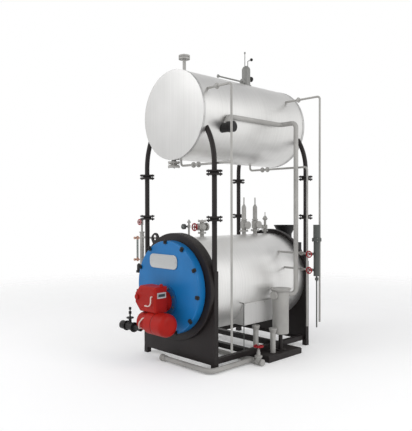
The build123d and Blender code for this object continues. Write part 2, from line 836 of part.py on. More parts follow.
tank_seat_height = tank_top - tank_wall
vent_stub = turned(at(0, vent_back, tank_seat_height), UP, vent_diameter, vent_shares)
with BuildPart() as tank_vent:
    add(vent_stub)
    add(tank_space, mode=Mode.SUBTRACT)
save(tank_vent, "tank_vent")

breaker_base = at(0, post_run - breaker_setback, tank_seat_height)
breaker_middle = breaker_base + UP * (breaker_size * breaker_middle_share)
spindle_base = breaker_middle + FRONT * spindle_lead
weight_center = breaker_middle + BACK * weight_back + UP * weight_rise
weight_rod_top = breaker_middle + BACK * weight_rod_back + UP * weight_rod_rise
weight_slope = (weight_rod_top - weight_center).normalized()
weight_rod_end = weight_center + weight_slope * (weight_radius + seat)
weight_rod = pipe([breaker_middle + BACK * weight_rod_back, weight_rod_top, weight_rod_end],
                  2 * spindle_radius, weight_rod_bend)
breaker_pieces = [
    turned(breaker_base, UP, breaker_size, breaker_shares),
    turned(breaker_middle, FRONT, breaker_size, breaker_side_shares),
    rod(breaker_middle, FRONT, lever_radius, lever_length),
    turned(breaker_middle + FRONT * lever_length, FRONT, lever_radius, lever_knob_shares),
    rod(spindle_base, UP, spindle_radius, spindle_length),
    turned(spindle_base + UP * spindle_length, UP, spindle_radius, spindle_knob_shares),
    weight_rod]
with BuildPart() as vacuum_breaker:
    add(breaker_pieces)
    add(tank_space, mode=Mode.SUBTRACT)
save(vacuum_breaker, "vacuum_breaker")

breaker_space = rod(breaker_base, UP, breaker_size * breaker_shares[1][0] + seat, weight_rise)
breaker_knob_base = breaker_base + UP * (breaker_size * breaker_knob_share)
breaker_knob = turned(breaker_knob_base, BACK, breaker_size, breaker_knob_shares)
with BuildPart() as breaker_knobs:
    add(breaker_knob)
    add(breaker_space, mode=Mode.SUBTRACT)
    with Locations(weight_center):
        Sphere(weight_radius)
save(breaker_knobs, "breaker_knobs")

outlet_stub = turned(at(-outlet_left, outlet_back, tank_bottom + outlet_diameter), DOWN, outlet_diameter,
                     outlet_shares)
with BuildPart() as tank_outlet:
    add(outlet_stub)
    add(tank_space, mode=Mode.SUBTRACT)
save(tank_outlet, "tank_outlet")

valve_height = tank_height - valve_drop
valve_end = tank_radius + valve_reach
valve_bar = rod(at(0, valve_back, valve_height), RIGHT, valve_radius, valve_end)
valve_cap = rod(at(valve_end, valve_back, valve_height), LEFT, valve_cap_radius, valve_cap_length)
with BuildPart() as tank_valve:
    add([valve_bar, valve_cap])
    add(tank_space, mode=Mode.SUBTRACT)
save(tank_valve, "tank_valve")


# Feed line from the tank to the pot
feed_run_right = tank_radius + feed_pipe / 2 + feed_tank_gap
feed_run_height = valve_height + feed_rise
feed_turn = post_run - feed_turn_setback
feed_drop_right = pot_right + feed_drop_gap
feed_run = pipe([
    at(feed_run_right, valve_back, valve_height), at(feed_run_right, valve_back, feed_run_height),
    at(feed_run_right, feed_turn, feed_run_height), at(feed_drop_right, feed_turn, feed_run_height),
    at(feed_drop_right, feed_turn, feed_entry_height), at(pot_right, pot_back, feed_entry_height)],
    feed_pipe, feed_bend)
with BuildPart() as feed_line:
    add(feed_run)
    add(rod(at(0, valve_back, valve_height), RIGHT, valve_cap_radius + seat, valve_end), mode=Mode.SUBTRACT)
    add(pot_space, mode=Mode.SUBTRACT)
save(feed_line, "feed_line")

pot_pieces = [
    rod(at(pot_right, pot_back, pot_bottom), UP, pot_radius, pot_height),
    turned(at(pot_right, pot_back, pot_bottom + pot_height), DOWN, pot_radius, pot_top_shares),
    turned(at(pot_right, pot_back, feed_entry_height), FRONT, feed_pipe, pot_port_shares)]
with BuildPart() as feed_pot:
    add(pot_pieces)
save(feed_pot, "feed_pot")

pedestal_pieces = [
    rod(at(pot_right, pot_back, foot_height), UP, pedestal_radius, pot_rise),
    turned(at(pot_right, pot_back, foot_height), UP, pedestal_radius, pedestal_plate_shares),
    turned(at(pot_right, pot_back, pot_bottom), DOWN, pedestal_radius, pedestal_plate_shares)]
with BuildPart() as pot_pedestal:
    add(pedestal_pieces)
save(pot_pedestal, "pot_pedestal")

tundish_pieces = []
for base, drop in (
        (at(pot_right + near_tundish_offset, pot_back - near_tundish_lead, foot_height), near_tundish_drop),
        (at(rail_right, plinth_front + far_tundish_back, foot_height + rail_height), far_tundish_drop)):
    height = axis_height - drop - base.Z
    tundish_pieces.append(rod(base, UP, tundish_radius, height))
    tundish_pieces.append(turned(base + UP * height, DOWN, tundish_radius, tundish_cup_shares))
with BuildPart() as tundishes:
    add(tundish_pieces)
save(tundishes, "tundishes")


# Overflow and drain lines of the tank, which drop on the right
front_line_height = tank_height + front_line_rise
front_drain_height = tank_bottom - drain_below_tank
drain_cocks = (drain_cock, drain_cock + drain_cock_gap)
front_pieces = [
    pipe([at(0, line_back, front_line_height), at(front_line_right, line_back, front_line_height),
          at(front_line_right, line_back, front_line_end)], small_pipe, small_bend),
    cock(at(front_line_cock, line_back, front_line_height), RIGHT),
    pipe([at(0, line_back, tank_height), at(0, line_back, front_drain_height),
          at(front_line_right, line_back, front_drain_height)], small_pipe, small_bend)]
front_pieces += [cock(at(right, line_back, front_drain_height), RIGHT) for right in drain_cocks]
with BuildPart() as front_overflow_line:
    add(front_pieces)
    add(tank_space, mode=Mode.SUBTRACT)
save(front_overflow_line, "front_overflow_line")

rear_line_back = post_run - rear_line_setback
rear_line_height = tank_height + rear_line_rise
rear_line_pieces = [
    pipe([at(0, rear_line_back, rear_line_height), at(rear_line_right, rear_line_back, rear_line_height),
          at(rear_line_right, rear_line_back, rear_line_end)], small_pipe, small_bend),
    cock(at(rear_line_cock, rear_line_back, rear_line_height), RIGHT)]
with BuildPart() as rear_overflow_line:
    add(rear_line_pieces)
    add(tank_space, mode=Mode.SUBTRACT)
save(rear_overflow_line, "rear_overflow_line")

rear_drain_back = post_run - rear_drain_setback
rear_drain_pieces = [
    pipe([at(0, rear_drain_back, tank_height), at(0, rear_drain_back, front_drain_height),
          at(rear_drain_right, rear_drain_back, front_drain_height),
          at(rear_drain_right, rear_drain_back, rear_drain_end)], small_pipe, small_bend)]
rear_drain_pieces += [cock(at(right, rear_drain_back, front_drain_height), RIGHT) for right in drain_cocks]
with BuildPart() as rear_drain_line:
    add(rear_drain_pieces)
    add(tank_space, mode=Mode.SUBTRACT)
save(rear_drain_line, "rear_drain_line")


# Fittings on top of the boiler
shell_seat_height = shell_top - shell_wall
gauge_base = at(0, gauge_back, shell_seat_height)
gauge_pieces = [
    turned(gauge_base, UP, gauge_size, gauge_shares),
    turned(gauge_base + UP * (gauge_size * gauge_dial_share), FRONT, gauge_size, gauge_dial_shares)]
with BuildPart() as pressure_gauge:
    add(gauge_pieces)
    add(shell_space, mode=Mode.SUBTRACT)
save(pressure_gauge, "pressure_gauge")

steam_base = at(0, steam_back, shell_seat_height)
steam_middle = steam_base + UP * (steam_size * steam_middle_share)
steam_pieces = [
    turned(steam_base, UP, steam_size, steam_shares),
    turned(steam_middle, BACK, steam_size, steam_outlet_shares),
    turned(steam_middle, FRONT, steam_size, steam_bonnet_shares),
    wheel_stem(steam_middle, FRONT, steam_wheel_radius, steam_wheel_reach)]
with BuildPart() as steam_valve:
    add(steam_pieces)
    add(shell_space, mode=Mode.SUBTRACT)
save(steam_valve, "steam_valve")

steam_wheel = handwheel(steam_middle + FRONT * steam_wheel_reach, FRONT, steam_wheel_radius)
with BuildPart() as steam_valve_wheel:
    add(steam_wheel)
save(steam_valve_wheel, "steam_valve_wheel")

safety_pieces = []
for setback in (safety_setback + safety_gap, safety_setback):
    safety_base = at(0, post_run - setback, shell_seat_height)
    safety_outlet = safety_base + UP * (safety_size * safety_outlet_share)
    safety_pieces.append(turned(safety_base, UP, safety_size, safety_shares))
    safety_pieces.append(turned(safety_outlet, RIGHT, safety_size, safety_outlet_shares))
with BuildPart() as safety_valves:
    add(safety_pieces)
    add(shell_space, mode=Mode.SUBTRACT)
save(safety_valves, "safety_valves")

air_vent_base = at(0, post_run - air_vent_setback, shell_seat_height)
air_vent_port = air_vent_base + UP * (air_vent_size * air_vent_port_share)
air_vent_pieces = [
    turned(air_vent_base, UP, air_vent_size, air_vent_shares),
    turned(air_vent_port, FRONT, air_vent_size, air_vent_port_shares)]
with BuildPart() as air_vent:
    add(air_vent_pieces)
    add(shell_space, mode=Mode.SUBTRACT)
save(air_vent, "air_vent")


# Level column on the right
column_base = at(column_right, column_back, column_bottom)
column_pieces = [
    rod(column_base, UP, column_radius, column_height),
    turned(column_base + UP * column_height, DOWN, column_radius, column_top_shares),
    turned(column_base, DOWN, cock_radius, column_drain_shares),
    rod(column_base, DOWN, column_drain_radius, column_bottom - column_drain_end)]
with BuildPart() as level_column:
    add(column_pieces)
save(level_column, "level_column")

controller_base = column_base + UP * column_height
controller_pieces = [
    rod(controller_base, UP, controller_radius, controller_height),
    turned(controller_base, UP, controller_radius, controller_base_shares)]
with BuildPart() as level_controller:
    add(controller_pieces)
save(level_controller, "level_controller")

column_pipe_pieces = []
for gap, name in ((column_pipe_gap, "column_wheel_upper"), (0, "column_wheel_lower")):
    pipe_height = axis_height + column_pipe_rise + gap
    bonnet = at(column_right - column_valve_gap, column_back, pipe_height)
    column_pipe_pieces.append(rod(at(0, column_back, pipe_height), RIGHT, small_pipe / 2, column_right))
    column_pipe_pieces.append(cock(at(support_half + column_cock_gap, column_back, pipe_height), RIGHT))
    column_pipe_pieces.append(turned(bonnet, FRONT, column_wheel_radius, column_bonnet_shares))
    column_pipe_pieces.append(wheel_stem(bonnet, FRONT, column_wheel_radius, column_wheel_reach))
    wheel = handwheel(bonnet + FRONT * column_wheel_reach, FRONT, column_wheel_radius)
    with BuildPart() as column_wheel:
        add(wheel)
    save(column_wheel, name)
with BuildPart() as column_pipes:
    add(column_pipe_pieces)
    add(shell_space, mode=Mode.SUBTRACT)
    add(column_space, mode=Mode.SUBTRACT)
save(column_pipes, "column_pipes")


# Level gauge on the left
glass_base = at(-glass_column_left, glass_column_back, glass_bottom)
glass_stem = glass_base + UP * (glass_column_height + glass_column_radius * glass_stem_share)
glass_pieces = [
    rod(glass_base, UP, glass_column_radius, glass_column_height),
    turned(glass_base, UP, glass_column_radius, glass_plate_shares),
    turned(glass_base + UP * glass_column_height, DOWN, glass_column_radius, glass_plate_shares),
    turned(glass_base + UP * glass_column_height, UP, glass_column_radius, glass_valve_shares),
    wheel_stem(glass_stem, FRONT, glass_wheel_radius, glass_wheel_reach)]
for rise in (glass_pipe_inset, glass_column_height - glass_pipe_inset):
    pipe_start = at(0, glass_column_back, glass_bottom + rise)
    glass_pieces.append(rod(pipe_start, LEFT, small_pipe / 2, glass_column_left))
with BuildPart() as gauge_column:
    add(glass_pieces)
    add(shell_space, mode=Mode.SUBTRACT)
save(gauge_column, "gauge_column")

glass_wheel = handwheel(glass_stem + FRONT * glass_wheel_reach, FRONT, glass_wheel_radius)
with BuildPart() as gauge_valve_wheel:
    add(glass_wheel)
save(gauge_valve_wheel, "gauge_valve_wheel")

glass_space = rod(glass_base, UP, glass_column_radius + seat, glass_column_height)
glass_low = axis_height + glass_cock_rise
glass_high = glass_low + glass_cock_gap
cock_pieces = []
for height, outward in ((glass_low, UP), (glass_high, DOWN)):
    cock_middle = at(-glass_left, glass_column_back, height)
    cock_base = cock_middle - outward * glass_cock_size
    cock_pieces.append(turned(cock_base, outward, glass_cock_size, glass_cock_shares))
    cock_pieces.append(turned(cock_middle, FRONT, glass_cock_size, glass_handle_shares))
    cock_pieces.append(rod(cock_middle, RIGHT, glass_arm_radius, glass_left - glass_column_left))
with BuildPart() as gauge_cocks:
    add(cock_pieces)
    add(glass_space, mode=Mode.SUBTRACT)
save(gauge_cocks, "gauge_cocks")

glass_start = glass_low + glass_cock_size
with BuildPart() as gauge_glass:
    with BuildSketch(Plane(origin=at(-glass_left, glass_column_back, glass_start))):
        Circle(glass_radius)
        Circle(glass_radius - glass_wall, mode=Mode.SUBTRACT)
    extrude(amount=glass_high - glass_cock_size - glass_start)
save(gauge_glass, "gauge_glass")


# Blowdown valve, drain line and sample tube
blow_middle = at(blow_right, blow_back, drain_height)
blow_pieces = [
    turned(blow_middle, LEFT, blow_size, blow_side_shares),
    turned(blow_middle, RIGHT, blow_size, blow_side_shares),
    turned(blow_middle, UP, blow_size, blow_bonnet_shares),
    wheel_stem(blow_middle, UP, blow_wheel_radius, blow_wheel_reach)]
with BuildPart() as blowdown_valve:
    add(blow_pieces)
save(blowdown_valve, "blowdown_valve")

blow_wheel = handwheel(blow_middle + UP * blow_wheel_reach, UP, blow_wheel_radius)
with BuildPart() as blowdown_wheel:
    add(blow_wheel)
save(blowdown_wheel, "blowdown_wheel")

blow_side_length = blow_size * sum(length for _, length in blow_side_shares)
drain_corner = at(drain_right, -drain_lead, drain_height)
drain_start = at(-drain_left, -drain_lead, drain_height)
drain_pieces = [
    pipe([drain_start, drain_corner, at(drain_right, blow_back - drain_tee_radius / 2, drain_height)],
         drain_pipe, drain_bend),
    turned(drain_start, LEFT, drain_pipe, drain_cap_shares),
    rod(at(drain_right - drain_tee_length / 2, blow_back, drain_height), RIGHT, drain_tee_radius,
        drain_tee_length),
    pipe([at(0, blow_back, axis_height), at(0, blow_back, drain_height),
          blow_middle + LEFT * blow_side_length], drain_pipe, drain_bend)]
with BuildPart() as drain_line:
    add(drain_pieces)
    add(shell_space, mode=Mode.SUBTRACT)
save(drain_line, "drain_line")

sample_height = axis_height - sample_drop
sample_out = shell_radius + sample_gap
sample_run = pipe([at(0, sample_back, sample_height), at(sample_out, sample_back, sample_height),
                   at(sample_out, sample_back, sample_end)], sample_tube, sample_bend)
with BuildPart() as sample_line:
    add(sample_run)
    add(shell_space, mode=Mode.SUBTRACT)
save(sample_line, "sample_line")


# Cladding cover on the lower right of the shell
cover_block = block(at(0, cover_back, axis_height - shell_radius * cover_low_share),
                    at(shell_radius - cover_inset, cover_back + cover_length,
                       axis_height - shell_radius * cover_high_share))
with BuildPart() as cladding_cover:
    add(cover_block)
    add(shell_space, mode=Mode.SUBTRACT)
save(cladding_cover, "cladding_cover")
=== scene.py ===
import json
import math

import bmesh
import bpy
from mathutils import Matrix, Vector


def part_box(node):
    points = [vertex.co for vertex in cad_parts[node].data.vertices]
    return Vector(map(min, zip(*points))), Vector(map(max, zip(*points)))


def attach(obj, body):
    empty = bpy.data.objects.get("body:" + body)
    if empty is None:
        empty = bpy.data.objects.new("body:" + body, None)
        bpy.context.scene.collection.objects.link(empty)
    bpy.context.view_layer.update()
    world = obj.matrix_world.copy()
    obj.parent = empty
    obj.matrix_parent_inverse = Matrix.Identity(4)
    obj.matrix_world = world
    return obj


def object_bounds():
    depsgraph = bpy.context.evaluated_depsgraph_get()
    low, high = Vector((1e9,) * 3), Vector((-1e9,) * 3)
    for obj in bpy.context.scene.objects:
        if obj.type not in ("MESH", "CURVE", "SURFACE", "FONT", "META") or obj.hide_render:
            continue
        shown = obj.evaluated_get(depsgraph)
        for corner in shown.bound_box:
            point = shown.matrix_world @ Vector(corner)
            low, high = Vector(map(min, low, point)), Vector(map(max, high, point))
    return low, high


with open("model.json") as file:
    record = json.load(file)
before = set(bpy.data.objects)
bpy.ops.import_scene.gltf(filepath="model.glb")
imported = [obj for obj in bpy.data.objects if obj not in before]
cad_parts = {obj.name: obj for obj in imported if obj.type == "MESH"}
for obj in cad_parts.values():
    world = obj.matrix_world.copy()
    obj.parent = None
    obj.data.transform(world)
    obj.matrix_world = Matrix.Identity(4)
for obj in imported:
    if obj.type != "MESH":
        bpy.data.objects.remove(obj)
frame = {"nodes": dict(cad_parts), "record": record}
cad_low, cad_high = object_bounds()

# Looks of a packaged steam boiler with its feedwater tank. Metres, +Z up, the burner door towards -Y.
RIGHT, LEFT = Vector((1, 0, 0)), Vector((-1, 0, 0))
BACK, FRONT = Vector((0, 1, 0)), Vector((0, -1, 0))
UP = Vector((0, 0, 1))

# Places read from the frame
shell_low, shell_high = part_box("boiler_shell")
tank_low, tank_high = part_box("tank_shell")
door_low, door_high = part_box("front_door")
posts_low, posts_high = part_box("middle_posts")
axis_x = (shell_low.x + shell_high.x) / 2
axis_z = (shell_low.z + shell_high.z) / 2
tank_z = (tank_low.z + tank_high.z) / 2
tank_radius = (tank_high.x - tank_low.x) / 2
post_flange_radius = 0.0749
front_y = posts_low.y + post_flange_radius


def at(right, back, height):
    """A point given from the boiler axis, the front posts and the floor."""
    return Vector((axis_x + right, front_y + back, height))


# Stubs on top of the shell and the tank, back from the front posts
gauge_back, steam_back, vent_back = 0.137, 0.318, 1.326
safety_backs = (0.962, 1.149)
tank_vent_back = 0.080

# Where one node changes its finish
gauge_case_reach = 0.024
fan_seam_right = 0.106
door_plug_depth = 0.0125
hinge_reach = 0.458

# Shader helpers
FLOAT, VECTOR = "NodeSocketFloat", "NodeSocketVector"


def node(tree, kind, inputs=(), **settings):
    """A shader node with its settings, and with values or links on its inputs."""
    made = tree.nodes.new(kind)
    for name, value in settings.items():
        setattr(made, name, value)
    for name, value in dict(inputs).items():
        if isinstance(value, bpy.types.NodeSocket):
            tree.links.new(value, made.inputs[name])
        else:
            made.inputs[name].default_value = value
    return made


def noise(tree, vector, scale, detail=3.0, roughness=0.55):
    """The grey value of a noise pattern."""
    made = node(tree, "ShaderNodeTexNoise",
                {"Vector": vector, "Scale": scale, "Detail": detail, "Roughness": roughness})
    return made.outputs["Fac"]


def spread(tree, value, from_low, from_high, to_low, to_high):
    """A value moved from one range to another."""
    made = node(tree, "ShaderNodeMapRange", {
        "Value": value, "From Min": from_low, "From Max": from_high, "To Min": to_low, "To Max": to_high})
    return made.outputs["Result"]


def calculate(tree, operation, first, second=0.0):
    """The result of a Math operation."""
    return node(tree, "ShaderNodeMath", {0: first, 1: second}, operation=operation).outputs[0]


def added(tree, first, second):
    """Two values added."""
    return calculate(tree, "ADD", first, second)


def scaled(tree, value, factor):
    """A value times a factor."""
    return calculate(tree, "MULTIPLY", value, factor)


def tint(colour, share=1.0):
    """A colour made darker or paler, with its alpha."""
    return [min(1.0, share * part) for part in colour] + [1]


def blend_colours(tree, share, first, second):
    """Two colours mixed by a share."""
    return node(tree, "ShaderNodeMix", {0: share, 6: first, 7: second}, data_type="RGBA").outputs[2]


def place_on(tree, stretch=(1, 1, 1)):
    """Object coordinates, stretched."""
    here = node(tree, "ShaderNodeTexCoord").outputs["Object"]
    return node(tree, "ShaderNodeMapping", {"Vector": here, "Scale": stretch}).outputs["Vector"]


def along(tree, axis):
    """One of the object coordinates."""
    return node(tree, "ShaderNodeSeparateXYZ", {0: place_on(tree)}).outputs[axis]


def effect(name, inputs, outputs):
    """A new effect group: its tree, what it is given and what it puts out."""
    tree = bpy.data.node_groups.new(name, "ShaderNodeTree")
    for label, kind, value in inputs:
        socket = tree.interface.new_socket(label, in_out="INPUT", socket_type=kind)
        if value is not None:
            socket.default_value = value
    for label, kind in outputs:
        tree.interface.new_socket(label, in_out="OUTPUT", socket_type=kind)
    return tree, tree.nodes.new("NodeGroupInput").outputs, tree.nodes.new("NodeGroupOutput").inputs


def use(tree, group, inputs=()):
    """An effect group placed in a material with its own values."""
    return node(tree, "ShaderNodeGroup", inputs, node_tree=group).outputs


def bump(tree, height, strength, distance, normal):
    """A bumped normal."""
    made = node(tree, "ShaderNodeBump",
                {"Height": height, "Strength": strength, "Distance": distance, "Normal": normal})
    return made.outputs[0]


# Effects that several finishes share
def make_edge_wear():
    """Rounds sharp edges and marks where they are rubbed."""
    tree, given, out = effect("edge_wear", [("Radius", FLOAT, 0.003), ("Breaks", FLOAT, 40.0)],
                              [("Mask", FLOAT), ("Normal", VECTOR)])
    rounded = node(tree, "ShaderNodeBevel", {"Radius": given["Radius"]}, samples=6).outputs[0]
    flat = node(tree, "ShaderNodeNewGeometry").outputs["Normal"]
    turn = node(tree, "ShaderNodeVectorMath", {0: rounded, 1: flat}, operation="DOT_PRODUCT")
    edge = spread(tree, turn.outputs["Value"], 0.99, 0.86, 0.0, 1.0)
    breaks = spread(tree, noise(tree, place_on(tree), given["Breaks"], 4.0), 0.42, 0.62, 0.0, 1.0)
    tree.links.new(scaled(tree, edge, breaks), out["Mask"])
    tree.links.new(rounded, out["Normal"])
    return tree


def make_brushing():
    """Fine parallel scratches across soft cloudy patches, for a vector stretched along the brushing."""
    tree, given, out = effect("brushing", [("Vector", VECTOR, None), ("Cloud", FLOAT, 2.5)],
                              [("Tone", FLOAT), ("Height", FLOAT)])
    wide = noise(tree, given["Vector"], 1.0, 4.0, 0.6)
    fine = noise(tree, given["Vector"], 6.0, 5.0, 0.7)
    cloud = noise(tree, place_on(tree), given["Cloud"], 2.0, 0.4)
    streaks = added(tree, scaled(tree, wide, 0.55), scaled(tree, fine, 0.45))
    tone = added(tree, scaled(tree, streaks, 0.6), scaled(tree, cloud, 0.4))
    tree.links.new(spread(tree, tone, 0.34, 0.66, 0.0, 1.0), out["Tone"])
    tree.links.new(fine, out["Height"])
    return tree


def make_paint_skin():
    """Uneven tone and a faint orange peel, as on sprayed paint."""
    tree, given, out = effect("paint_skin", [("Patch", FLOAT, 5.0), ("Peel", FLOAT, 260.0)],
                              [("Tone", FLOAT), ("Height", FLOAT)])
    here = place_on(tree)
    patches = noise(tree, here, given["Patch"], 4.0, 0.55)
    tree.links.new(spread(tree, patches, 0.3, 0.7, 0.0, 1.0), out["Tone"])
    tree.links.new(noise(tree, here, given["Peel"], 2.0, 0.5), out["Height"])
    return tree


def make_settled_dust():
    """Pale dust on faces that look up."""
    tree, given, out = effect("settled_dust", [("Amount", FLOAT, 0.2)], [("Mask", FLOAT)])
    facing = node(tree, "ShaderNodeNewGeometry").outputs["Normal"]
    height = node(tree, "ShaderNodeSeparateXYZ", {0: facing}).outputs["Z"]
    upward = spread(tree, height, 0.35, 1.0, 0.0, 1.0)
    patches = spread(tree, noise(tree, place_on(tree), 14.0, 5.0, 0.6), 0.35, 0.7, 0.2, 1.0)
    lying = scaled(tree, upward, patches)
    tree.links.new(scaled(tree, lying, given["Amount"]), out["Mask"])
    return tree


edge_wear = make_edge_wear()
brushing = make_brushing()
paint_skin = make_paint_skin()
settled_dust = make_settled_dust()

# Kinds of finish
dust_colour, chip_colour = (0.5, 0.48, 0.45), (0.3, 0.3, 0.29)


def new_finish(name):
    """An empty material, its tree and the inputs of its shader."""
    finish = bpy.data.materials.new(name)
    finish.use_nodes = True
    tree = finish.node_tree
    return finish, tree, tree.nodes["Principled BSDF"].inputs


def painted(name, colour, worn, roughness, peel=0.12, dust=0.05, wear=0.5, edge=0.003, patch=4.0, shine=0.5,
            shaded_seam=None):
    """Sprayed paint: uneven tone, orange peel, rubbed edges, dust and, if wanted, a pressed seam at some x,
    its groove darkened with painted shade.
    """
    finish, tree, shader = new_finish(name)
    skin = use(tree, paint_skin, {"Patch": patch})
    edges = use(tree, edge_wear, {"Radius": edge})
    dusty = use(tree, settled_dust, {"Amount": dust})
    tone = blend_colours(tree, skin["Tone"], tint(colour, 0.84), tint(colour, 1.1))
    rubbed = blend_colours(tree, scaled(tree, edges["Mask"], wear), tone, tint(worn))
    paint = blend_colours(tree, dusty["Mask"], rubbed, tint(dust_colour))
    relief = bump(tree, skin["Height"], peel, 0.001, edges["Normal"])
    if shaded_seam is not None:
        away = calculate(tree, "ABSOLUTE", calculate(tree, "SUBTRACT", along(tree, "X"), shaded_seam))
        # Painted shade: a dark line along the seam's groove, besides its bump
        paint = blend_colours(tree, spread(tree, away, 0.0025, 0.0045, 1.0, 0.0), paint, tint(colour, 0.35))
        relief = bump(tree, spread(tree, away, 0.002, 0.010, 0.0, 1.0), 0.8, 0.004, relief)
    rough = spread(tree, skin["Tone"], 0.0, 1.0, roughness + 0.06, roughness - 0.04)
    tree.links.new(paint, shader["Base Color"])
    tree.links.new(added(tree, rough, scaled(tree, dusty["Mask"], 0.5)), shader["Roughness"])
    tree.links.new(relief, shader["Normal"])
    shader["Specular IOR Level"].default_value = shine
    return finish


def two_paints(name, front_colour, rear_colour, parting):
    """Paint that changes its colour at some y: one in front of it and one behind it."""
    finish, tree, shader = new_finish(name)
    skin = use(tree, paint_skin, {"Patch": 20.0})
    edges = use(tree, edge_wear, {"Radius": 0.0012, "Breaks": 160.0})
    in_front = spread(tree, along(tree, "Y"), parting, parting + 0.0005, 1.0, 0.0)
    paint = blend_colours(tree, in_front, tint(rear_colour), tint(front_colour))
    tone = blend_colours(tree, scaled(tree, skin["Tone"], 0.25), paint, tint(front_colour, 0.8))
    rubbed = blend_colours(tree, scaled(tree, edges["Mask"], 0.3), tone, tint(chip_colour))
    tree.links.new(rubbed, shader["Base Color"])
    tree.links.new(spread(tree, skin["Tone"], 0.0, 1.0, 0.5, 0.4), shader["Roughness"])
    tree.links.new(bump(tree, skin["Height"], 0.12, 0.001, edges["Normal"]), shader["Normal"])
    return finish


def sheet_metal(name, stretch, colour, roughest, smoothest, metallic=1.0):
    """Brushed cladding sheet, with scratches along one way."""
    finish, tree, shader = new_finish(name)
    brushed = use(tree, brushing, {"Vector": place_on(tree, stretch)})
    edges = use(tree, edge_wear, {"Radius": 0.0025})
    tone = blend_colours(tree, brushed["Tone"], tint(colour, 0.86), tint(colour, 1.06))
    tree.links.new(tone, shader["Base Color"])
    tree.links.new(spread(tree, brushed["Tone"], 0.0, 1.0, roughest, smoothest), shader["Roughness"])
    tree.links.new(bump(tree, brushed["Height"], 0.16, 0.0006, edges["Normal"]), shader["Normal"])
    shader["Metallic"].default_value = metallic
    return finish


def bare_metal(name, colour, roughness, grain=90.0, relief=0.25):
    """Plain metal with a fine grain and paler edges."""
    finish, tree, shader = new_finish(name)
    edges = use(tree, edge_wear, {"Radius": 0.0015, "Breaks": 120.0})
    speckle = noise(tree, place_on(tree), grain, 5.0, 0.65)
    pale = tint(colour, 1.15)
    tone = blend_colours(tree, spread(tree, speckle, 0.3, 0.7, 0.0, 1.0), tint(colour, 0.7), pale)
    rubbed = blend_colours(tree, scaled(tree, edges["Mask"], 0.4), tone, pale)
    rough = spread(tree, speckle, 0.3, 0.7, roughness + 0.1, roughness - 0.06)
    tree.links.new(rubbed, shader["Base Color"])
    tree.links.new(rough, shader["Roughness"])
    tree.links.new(bump(tree, speckle, relief, 0.0008, edges["Normal"]), shader["Normal"])
    shader["Metallic"].default_value = 1.0
    return finish


def sight_glass(name):
    """Tube glass, smoked by age."""
    finish, tree, shader = new_finish(name)
    shader["Base Color"].default_value = (0.42, 0.44, 0.43, 1)
    shader["Transmission Weight"].default_value = 1.0
    shader["IOR"].default_value = 1.5
    streak = noise(tree, place_on(tree, (1, 1, 0.1)), 60.0, 3.0)
    tree.links.new(spread(tree, streak, 0.3, 0.7, 0.02, 0.1), shader["Roughness"])
    return finish


def door_enamel(name, colour, worn, hinge_colour, lining_colour, hinge_edge, lining_front):
    """Enamel on the door, black on its hinge side and gritty refractory on the plug behind it."""
    finish, tree, shader = new_finish(name)
    skin = use(tree, paint_skin, {"Patch": 3.0, "Peel": 180.0})
    edges = use(tree, edge_wear, {"Radius": 0.004})
    hinge = spread(tree, along(tree, "X"), hinge_edge, hinge_edge + 0.001, 1.0, 0.0)
    lining = spread(tree, along(tree, "Y"), lining_front, lining_front + 0.001, 0.0, 1.0)
    paint = blend_colours(tree, skin["Tone"], tint(colour, 0.86), tint(colour, 1.08))
    rubbed = blend_colours(tree, scaled(tree, edges["Mask"], 0.25), paint, tint(worn))
    outside = blend_colours(tree, hinge, rubbed, tint(hinge_colour))
    grit = noise(tree, place_on(tree), 70.0, 6.0, 0.7)
    brick = blend_colours(tree, spread(tree, grit, 0.35, 0.65, 0.0, 1.0),
                          tint(lining_colour, 0.35), tint(lining_colour))
    rough = spread(tree, skin["Tone"], 0.0, 1.0, 0.40, 0.30)
    relief = added(tree, scaled(tree, skin["Height"], 0.12), scaled(tree, scaled(tree, grit, lining), 3.0))
    tree.links.new(blend_colours(tree, lining, outside, brick), shader["Base Color"])
    tree.links.new(calculate(tree, "MAXIMUM", rough, scaled(tree, lining, 0.9)), shader["Roughness"])
    tree.links.new(bump(tree, relief, 0.6, 0.001, edges["Normal"]), shader["Normal"])
    shader["Specular IOR Level"].default_value = 0.32
    return finish


# Paints
red_paint = {"colour": (0.37, 0.008, 0.004), "worn": (0.42, 0.03, 0.02), "roughness": 0.45, "dust": 0.0,
             "edge": 0.005, "wear": 0.3, "shine": 0.2}
pipe_colour = (0.345, 0.338, 0.322)
frame_black = painted("frame_black", colour=(0.0098, 0.0062, 0.0060), worn=(0.042, 0.034, 0.033),
                      roughness=0.50, peel=0.2, shine=0.35)
iron_black = painted("iron_black", colour=(0.009, 0.0085, 0.0085), worn=(0.045, 0.042, 0.04),
                     roughness=0.55, peel=0.35, wear=0.4, shine=0.35)
burner_red = painted("burner_red", **red_paint)
# The fan drum's red, with painted shade along the seam round its drum
fan_red = painted("fan_red", **red_paint, shaded_seam=axis_x + fan_seam_right)
pipe_grey = painted("pipe_grey", colour=pipe_colour, worn=(0.48, 0.47, 0.45), roughness=0.44, wear=0.4,
                    dust=0.03)
column_grey = painted("column_grey", colour=(0.062, 0.068, 0.063), worn=(0.16, 0.165, 0.16), roughness=0.42,
                      wear=0.45)
wheel_red = painted("wheel_red", colour=(0.30, 0.007, 0.014), worn=(0.40, 0.04, 0.04), roughness=0.42,
                    dust=0.0, edge=0.002, wear=0.4, shine=0.25)
lead_pale = painted("lead_pale", colour=(0.66, 0.52, 0.47), worn=(0.5, 0.42, 0.38), roughness=0.5, wear=0.3,
                    edge=0.001)
dial_white = painted("dial_white", colour=(0.72, 0.72, 0.70), worn=(0.6, 0.6, 0.58), roughness=0.35,
                     wear=0.2, edge=0.0005, patch=30.0)
panel_dark = painted("panel_dark", colour=(0.045, 0.055, 0.05), worn=(0.12, 0.13, 0.12), roughness=0.30,
                     wear=0.3, edge=0.001, patch=25.0)
label_pale = painted("label_pale", colour=(0.50, 0.47, 0.46), worn=(0.6, 0.58, 0.56), roughness=0.4,
                     wear=0.3, edge=0.001, patch=25.0)
